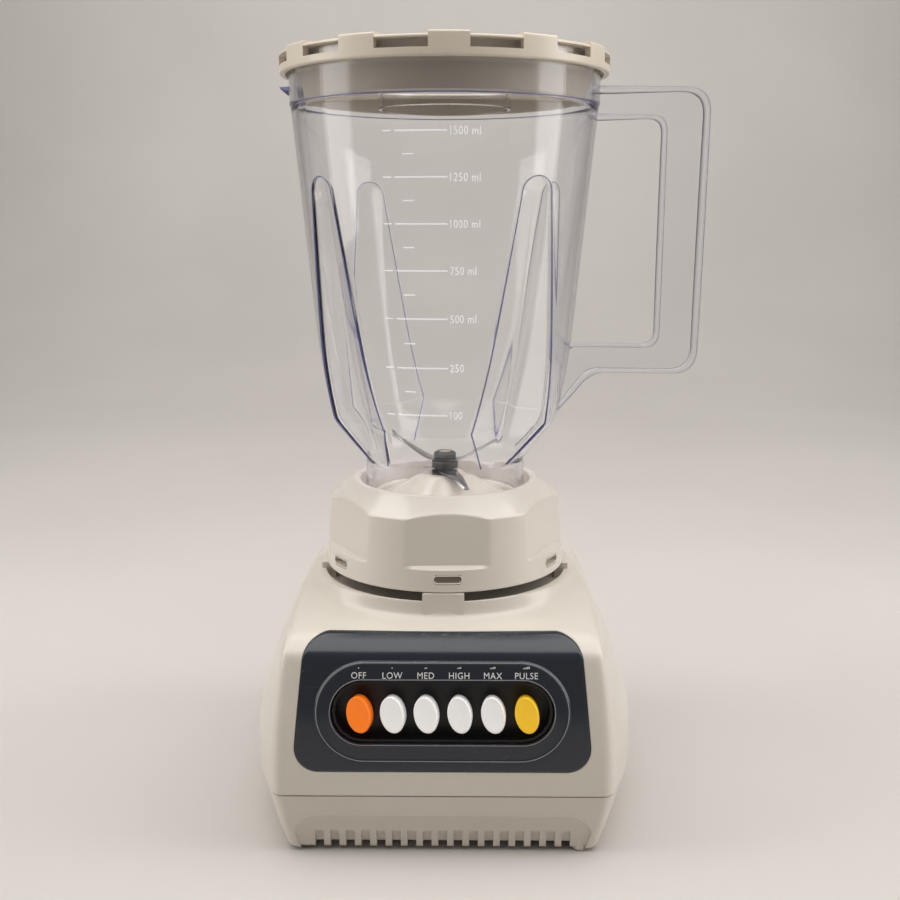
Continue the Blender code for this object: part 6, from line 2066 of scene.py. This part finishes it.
    def handle(self, finish: bpy.types.Material) -> None:
        """The handle: two beads joined by a thin web, carried along the two centre lines.

        Args:
            finish: the material.
        """
        outer, inner = self.handle_lines()
        big, small, web = 0.0019, 0.0016, 0.0006
        along = inner - outer
        length = np.linalg.norm(along, axis=1)[:, None]
        first = math.asin(web / big)
        a = np.linspace(first, 2 * math.pi - first, 17)
        last = math.asin(web / small)
        b = np.linspace(math.pi + last, 3 * math.pi - last, 15)
        reach = np.concatenate([big * np.cos(a)[None] + 0 * length, length + small * np.cos(b)[None]],
                               axis=1)
        thick = np.concatenate([big * np.sin(a), small * np.sin(b)])[None] + 0 * reach
        spot = outer[:, None] + (along / length)[:, None] * reach[..., None]
        x, y = swung(spot[..., 0], thick, self.handle_turn)
        closed_piece("jug_handle", np.stack([x, y, spot[..., 1]], axis=-1), finish, "jug",
                     capped=True)

    def spout(self, finish: bpy.types.Material) -> None:
        """Small beak under the lid: rounded triangles that shrink towards a raised tip.

        Args:
            finish: the material.
        """
        top, drop, half, reach = self.rim - 0.0106, 0.0075, 0.0062, 0.0066
        share = np.linspace(0, 1, 14)[:, None]
        shape = filleted([(-1, 0, 0.25), (1, 0, 0.25), (0, -1, 0.3)], 7)
        size = (1 - share) ** 0.85 * 0.97 + 0.03
        out = self.top_radius - 0.0012 + (reach + 0.0014) * share + 0 * shape[None, :, 0]
        side = half * size * shape[None, :, 0]
        height = top + drop * size * shape[None, :, 1]
        x, y = swung(out, side, self.spout_turn)
        closed_piece("jug_spout", np.stack([x, y, height], axis=-1), finish, "jug",
                     capped=True)

    def scale_marks(self, finish: bpy.types.Material) -> None:
        """Raised graduations on the front: long lines with their numbers, short ones between.

        Args:
            finish: the material.
        """
        sheet = PrintSheet()
        heights = [self.foot + rise for rise, _ in self.scale]
        middles = [(here + under) / 2 for here, under in zip(heights, heights[1:])]
        for height, (_, word) in zip(heights, self.scale):
            sheet.line(-0.0196, 0.0021, height, 0.62 * MM)
            sheet.line(-0.0245, -0.0212, height, 0.5 * MM)
            letters, listed = lettering(word, 0.0034, 0.78)
            sheet.add(letters - [letters[:, 0].min() - 0.0032, -height], listed)
        for height in middles:
            sheet.line(-0.0164, -0.0118, height, 0.5 * MM)
        flat = sheet.flat
        out = self.radius(flat[:, 1]) + 0.12 * MM
        angle = -math.pi / 2 + np.arcsin(flat[:, 0] / out)
        spots = np.stack([out * np.cos(angle), out * np.sin(angle), flat[:, 1]], axis=1)
        sheet.make("scale_marks", spots, 0.22 * MM, finish, "jug", "jug_clear")


# ---------------------------------------------------------------- lid
@dataclass
class Lid:
    """Lid: a ring with windows and raised segments, a sunk deck and a plug skirt, and its cap."""

    windows: int = 12
    window_turn: float = math.radians(17.2)
    window_half: float = math.radians(8.6)
    sill: float = 0.0034
    head: float = 0.0010
    segment_step: float = 0.00125
    ring_wall: float = 0.0027
    ring_height: float = 0.0098
    skirt_top: float = 0.0676
    skirt_wall: float = 0.0020
    skirt_bottom: float = 0.0641
    deck_radius: float = 0.0610
    deck_sunk: float = 0.0045
    deck_thick: float = 0.0025
    opening: float = 0.0318

    def build(self, finishes: Finishes) -> None:
        """The lid's closed section turned about the axis, its windows cut and their sides bridged.

        Args:
            finishes: every material, by name.
        """
        low, high = lowest("lid"), highest("lid")
        top, radius = high[2], high[0]
        ring, deck = top - self.ring_height, top - self.deck_sunk
        inside, stop = radius - self.ring_wall, highest("jug")[2] + 0.0003
        sill, head = ring + self.sill, top - self.segment_step - self.head
        under = deck - self.deck_thick
        corners = [(inside, ring, 0.0005), (radius, ring, 0.0009), (radius, sill, 0),
                   (radius, head, 0), (radius, top, 0.0012),
                   (self.deck_radius + self.skirt_wall, top, 0.0012),
                   (self.deck_radius, deck, 0.0010), (self.opening, deck, 0.0005),
                   (self.opening, under, 0.0005), (self.skirt_top - self.skirt_wall, under, 0.0010),
                   (self.skirt_bottom - self.skirt_wall, low[2], 0.0006),
                   (self.skirt_bottom, low[2], 0.0007), (self.skirt_top, ring, 0.0010),
                   (self.skirt_top, stop, 0.0006), (inside, stop, 0.0), (inside, head, 0),
                   (inside, sill, 0)]
        profile = filleted(corners, 6)
        pitch = 2 * math.pi / self.windows
        half = self.window_half
        across, between = 13, 10
        one = np.concatenate([[-half], np.linspace(-half, half, across), [half],
                              np.linspace(half, pitch - half, between + 2)[1:-1]])
        in_window = np.concatenate([[0], np.ones(across), [0], np.zeros(between)])
        angles = (self.window_turn + np.arange(self.windows)[:, None] * pitch + one[None]).ravel()
        lowered = np.tile(in_window, self.windows)
        grid = turned(profile, angles)
        r, z = profile[:, 0], profile[:, 1]
        sink = self.segment_step * ease(z, head + 0.0002, head + 0.0011)
        sink = sink * ease(r, self.skirt_top - 0.002, self.skirt_top - 0.0015)
        grid[..., 2] -= sink[:, None] * lowered[None]
        row = {name: int(np.flatnonzero((np.abs(r - rr) < 1e-7) & (np.abs(z - zz) < 1e-7))[0])
               for name, rr, zz in (("out_low", radius, sill), ("out_high", radius, head),
                                    ("in_high", inside, head), ("in_low", inside, sill))}
        keep = np.ones(grid.shape[:2], bool)
        skin = Skin()
        starts = np.arange(self.windows) * len(one) + 1
        for c in starts:
            keep[row["out_low"], c:c + across - 1] = False
            keep[row["in_high"], c:c + across - 1] = False
        index = skin.grid(grid, round_rows=True, keep=keep)
        for c in starts:
            loops = [np.concatenate([index[row[side + "_low"], c:c + across],
                                     index[row[side + "_high"], c:c + across][::-1]])
                     for side in ("out", "in")]
            skin.join(np.stack(loops), True, False)
        piece = place("lid_shell", skin.mesh("lid_shell"), finishes["lid_cream"], "lid", ["lid"])
        bevelled(piece, 0.0004, 45.0)
        self.cap(finishes["cap_clear"])

    def cap(self, finish: bpy.types.Material) -> None:
        """Measuring cap: a thin cup under a flange, with a bar across it to hold.

        Args:
            finish: the material.
        """
        low, high = lowest("filler_cap"), highest("filler_cap")
        flange = high[0]
        deck = highest("lid")[2] - self.deck_sunk + 0.0003
        cup, wall = 0.0305, 0.0016
        profile = filleted([(cup - wall, low[2], 0.0006), (cup, low[2], 0.0006), (cup, deck, 0.0004),
                            (flange, deck, 0.0008), (flange, deck + 0.002, 0.0009),
                            (0.0005, deck + 0.002, 0), (0.0005, deck + 0.0004, 0),
                            (cup - wall, deck + 0.0004, 0.001)], 6)
        skin = Skin()
        skin.grid(turned(supported(profile, 0.0008), whole_turn(96)), round_rows=True)
        turn = whole_turn(64)
        top = high[2]
        rise = np.linspace(0, 1, 9)[:, None]
        grow = 1 - 0.06 * rise**3
        bar_x = np.sign(np.cos(turn)) * np.abs(np.cos(turn)) ** 0.35 * 0.0205 * grow
        bar_y = np.sign(np.sin(turn)) * np.abs(np.sin(turn)) ** 0.6 * 0.0025 * grow
        base = deck + 0.0015
        skin.closed_rows(np.stack([bar_x, bar_y, base + (top - base) * rise + 0 * bar_x], axis=-1))
        place("cap_cup", skin.mesh("cap_cup"), finish, "filler_cap", ["filler_cap"])


# ---------------------------------------------------------------- CAD nodes that stay
KEPT_NODES = {
    "well": "button_well",
    "switch": "switch_bank cooling_fan",
    "black_rubber": "cord_gland blade_dog spindle_washer motor_mount_",
    "motor_steel": "stator_core armature",
    "screw_steel": "motor_shaft housing_screw_",
    "copper": "field_coil_ commutator",
    "brass": "brush_holder_ lower_bearing upper_bearing",
    "zinc": "lower_bracket upper_bracket drive_dog",
    "seal_rubber": "base_seal",
    "bush_bronze": "blade_bush",
    "blade_steel": "blade_spindle",
}


def dress_frame(nodes: dict[str, bpy.types.Object], finishes: Finishes) -> None:
    """Gives each CAD node that stays its material, by the start of its name.

    Args:
        nodes: the frame's nodes.
        finishes: the materials.
    """
    for finish, starts in KEPT_NODES.items():
        for name, piece in nodes.items():
            if name.startswith(tuple(starts.split())):
                piece.data.materials.clear()
                piece.data.materials.append(finishes[finish])


# ---------------------------------------------------------------- stage
def stage_material() -> bpy.types.Material:
    """Plain pale surface of the floor.

    Returns:
        The material.
    """
    made, work, shader = new_material("floor_finish")
    place_at = work.node("ShaderNodeTexCoord").outputs["Object"]
    tone = work.tint(work.band(work.noise(place_at, 3.0, 3.0), 0.3, 0.7), (0.56, 0.535, 0.51, 1),
                     (0.60, 0.573, 0.548, 1))
    work.tree.links.new(tone, shader.inputs["Base Color"])
    shader.inputs["Roughness"].default_value = 0.5
    return made


def area_light(name: str, at: tuple, aim: tuple, size: tuple[float, float], power: float,
               colour: tuple) -> None:
    """A soft rectangular light.

    Args:
        name: the light's name.
        at: its place.
        aim: the point that it faces.
        size: its width and height.
        power: its power in watts.
        colour: its colour.
    """
    lamp = bpy.data.lights.new(name, "AREA")
    lamp.shape, lamp.size, lamp.size_y = "RECTANGLE", *size
    lamp.energy, lamp.color = power, colour
    made = bpy.data.objects.new(name, lamp)
    spot, goal = np.array(at), np.array(aim)
    made.location = spot
    made.rotation_euler = Vector(goal - spot).to_track_quat("-Z", "Y").to_euler()
    bpy.context.scene.collection.objects.link(made)


def set_stage() -> None:
    """Floor, lights, world and camera."""
    profile = filleted([(-3.0, 0.0, 0), (2.0, 0.0, 1.0), (2.0, 3.0, 0)], 16, False)
    x, y = np.meshgrid(np.linspace(-3, 3, 9), profile[:, 0])
    skin = Skin()
    skin.grid(np.stack([x, y, 0 * x + profile[:, 1, None]], axis=-1), round_columns=False)
    mesh = skin.mesh("floor")
    mesh.materials.append(stage_material())
    floor = bpy.data.objects.new("floor", mesh)
    bpy.context.scene.collection.objects.link(floor)
    world = bpy.data.worlds.new("studio")
    bpy.context.scene.world = world
    world.use_nodes = True
    shade = world.node_tree.nodes["Background"]
    shade.inputs["Color"].default_value = (0.60, 0.57, 0.54, 1)
    shade.inputs["Strength"].default_value = 0.36
    area_light("key", (0.0, -0.04, 1.25), (0.0, 0.0, 0.15), (2.0, 1.1), 18.5, (1.0, 0.985, 0.96))
    area_light("side_left", (-1.0, -0.12, 0.55), (0.0, 0.0, 0.16), (0.5, 1.0), 4.5, (1.0, 0.98, 0.96))
    area_light("side_right", (1.0, -0.12, 0.55), (0.0, 0.0, 0.16), (0.5, 1.0), 5.5, (1.0, 0.98, 0.97))
    area_light("backdrop", (0.0, 1.15, 1.35), (0.0, 2.0, 0.5), (2.4, 0.5), 9.5, (1.0, 0.98, 0.96))
    camera = bpy.data.cameras.new("camera")
    camera.lens, camera.sensor_width = 45.85, 36.0
    camera.clip_start = 0.01
    made = bpy.data.objects.new("camera", camera)
    made.location = (AXIS.x + 0.008, -0.5486, 0.2784)
    made.rotation_euler = (math.radians(90 - 11.586), 0.0, math.radians(0.579))
    bpy.context.scene.collection.objects.link(made)
    bpy.context.scene.camera = made
    bpy.context.scene.view_settings.view_transform = "Standard"


def clear_startup() -> None:
    """Removes what the startup scene holds, which is all that the frame does not."""
    held = set(frame["nodes"].values()) | set(frame["bodies"].values())
    for leftover in [piece for piece in bpy.data.objects if piece not in held]:
        bpy.data.objects.remove(leftover)


clear_startup()
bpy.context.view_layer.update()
AXIS = find_axis()


def main() -> None:
    """Builds and dresses the blender, then sets the stage."""
    logging.basicConfig(level=logging.INFO, format="%(name)s %(message)s")
    finishes = Finishes()
    dress_frame(frame["nodes"], finishes)
    base = Base()
    tilt = math.radians(9.6)
    panel = Panel(base.upper, base.upper.bottom + 0.0375, tilt)
    base.upper_skin(panel, finishes["housing_cream"])
    base.pads(finishes["housing_cream"])
    base.lower_skin(finishes["housing_cream"])
    base.peg(finishes["housing_cream"])
    base.feet(finishes["foot_rubber"])
    panel.plate(finishes["slate"])
    # The ridges take the paler slate, a painted highlight.
    panel.ridges(finishes["slate_edge"])
    places = [(lowest(n)[0] + highest(n)[0]) / 2 for n in Words.nodes()]
    panel.print_on(finishes["print"], places, [word.name for word in Words])
    PushButtons(panel).build(finishes)
    Collar().build(finishes["collar_cream"])
    BladeUnit().build(finishes)
    jug = Jug()
    jug.build(finishes)
    jug.scale_marks(finishes["graduation"])
    Lid().build(finishes)
    set_stage()


if __name__ == "__main__":
    main()
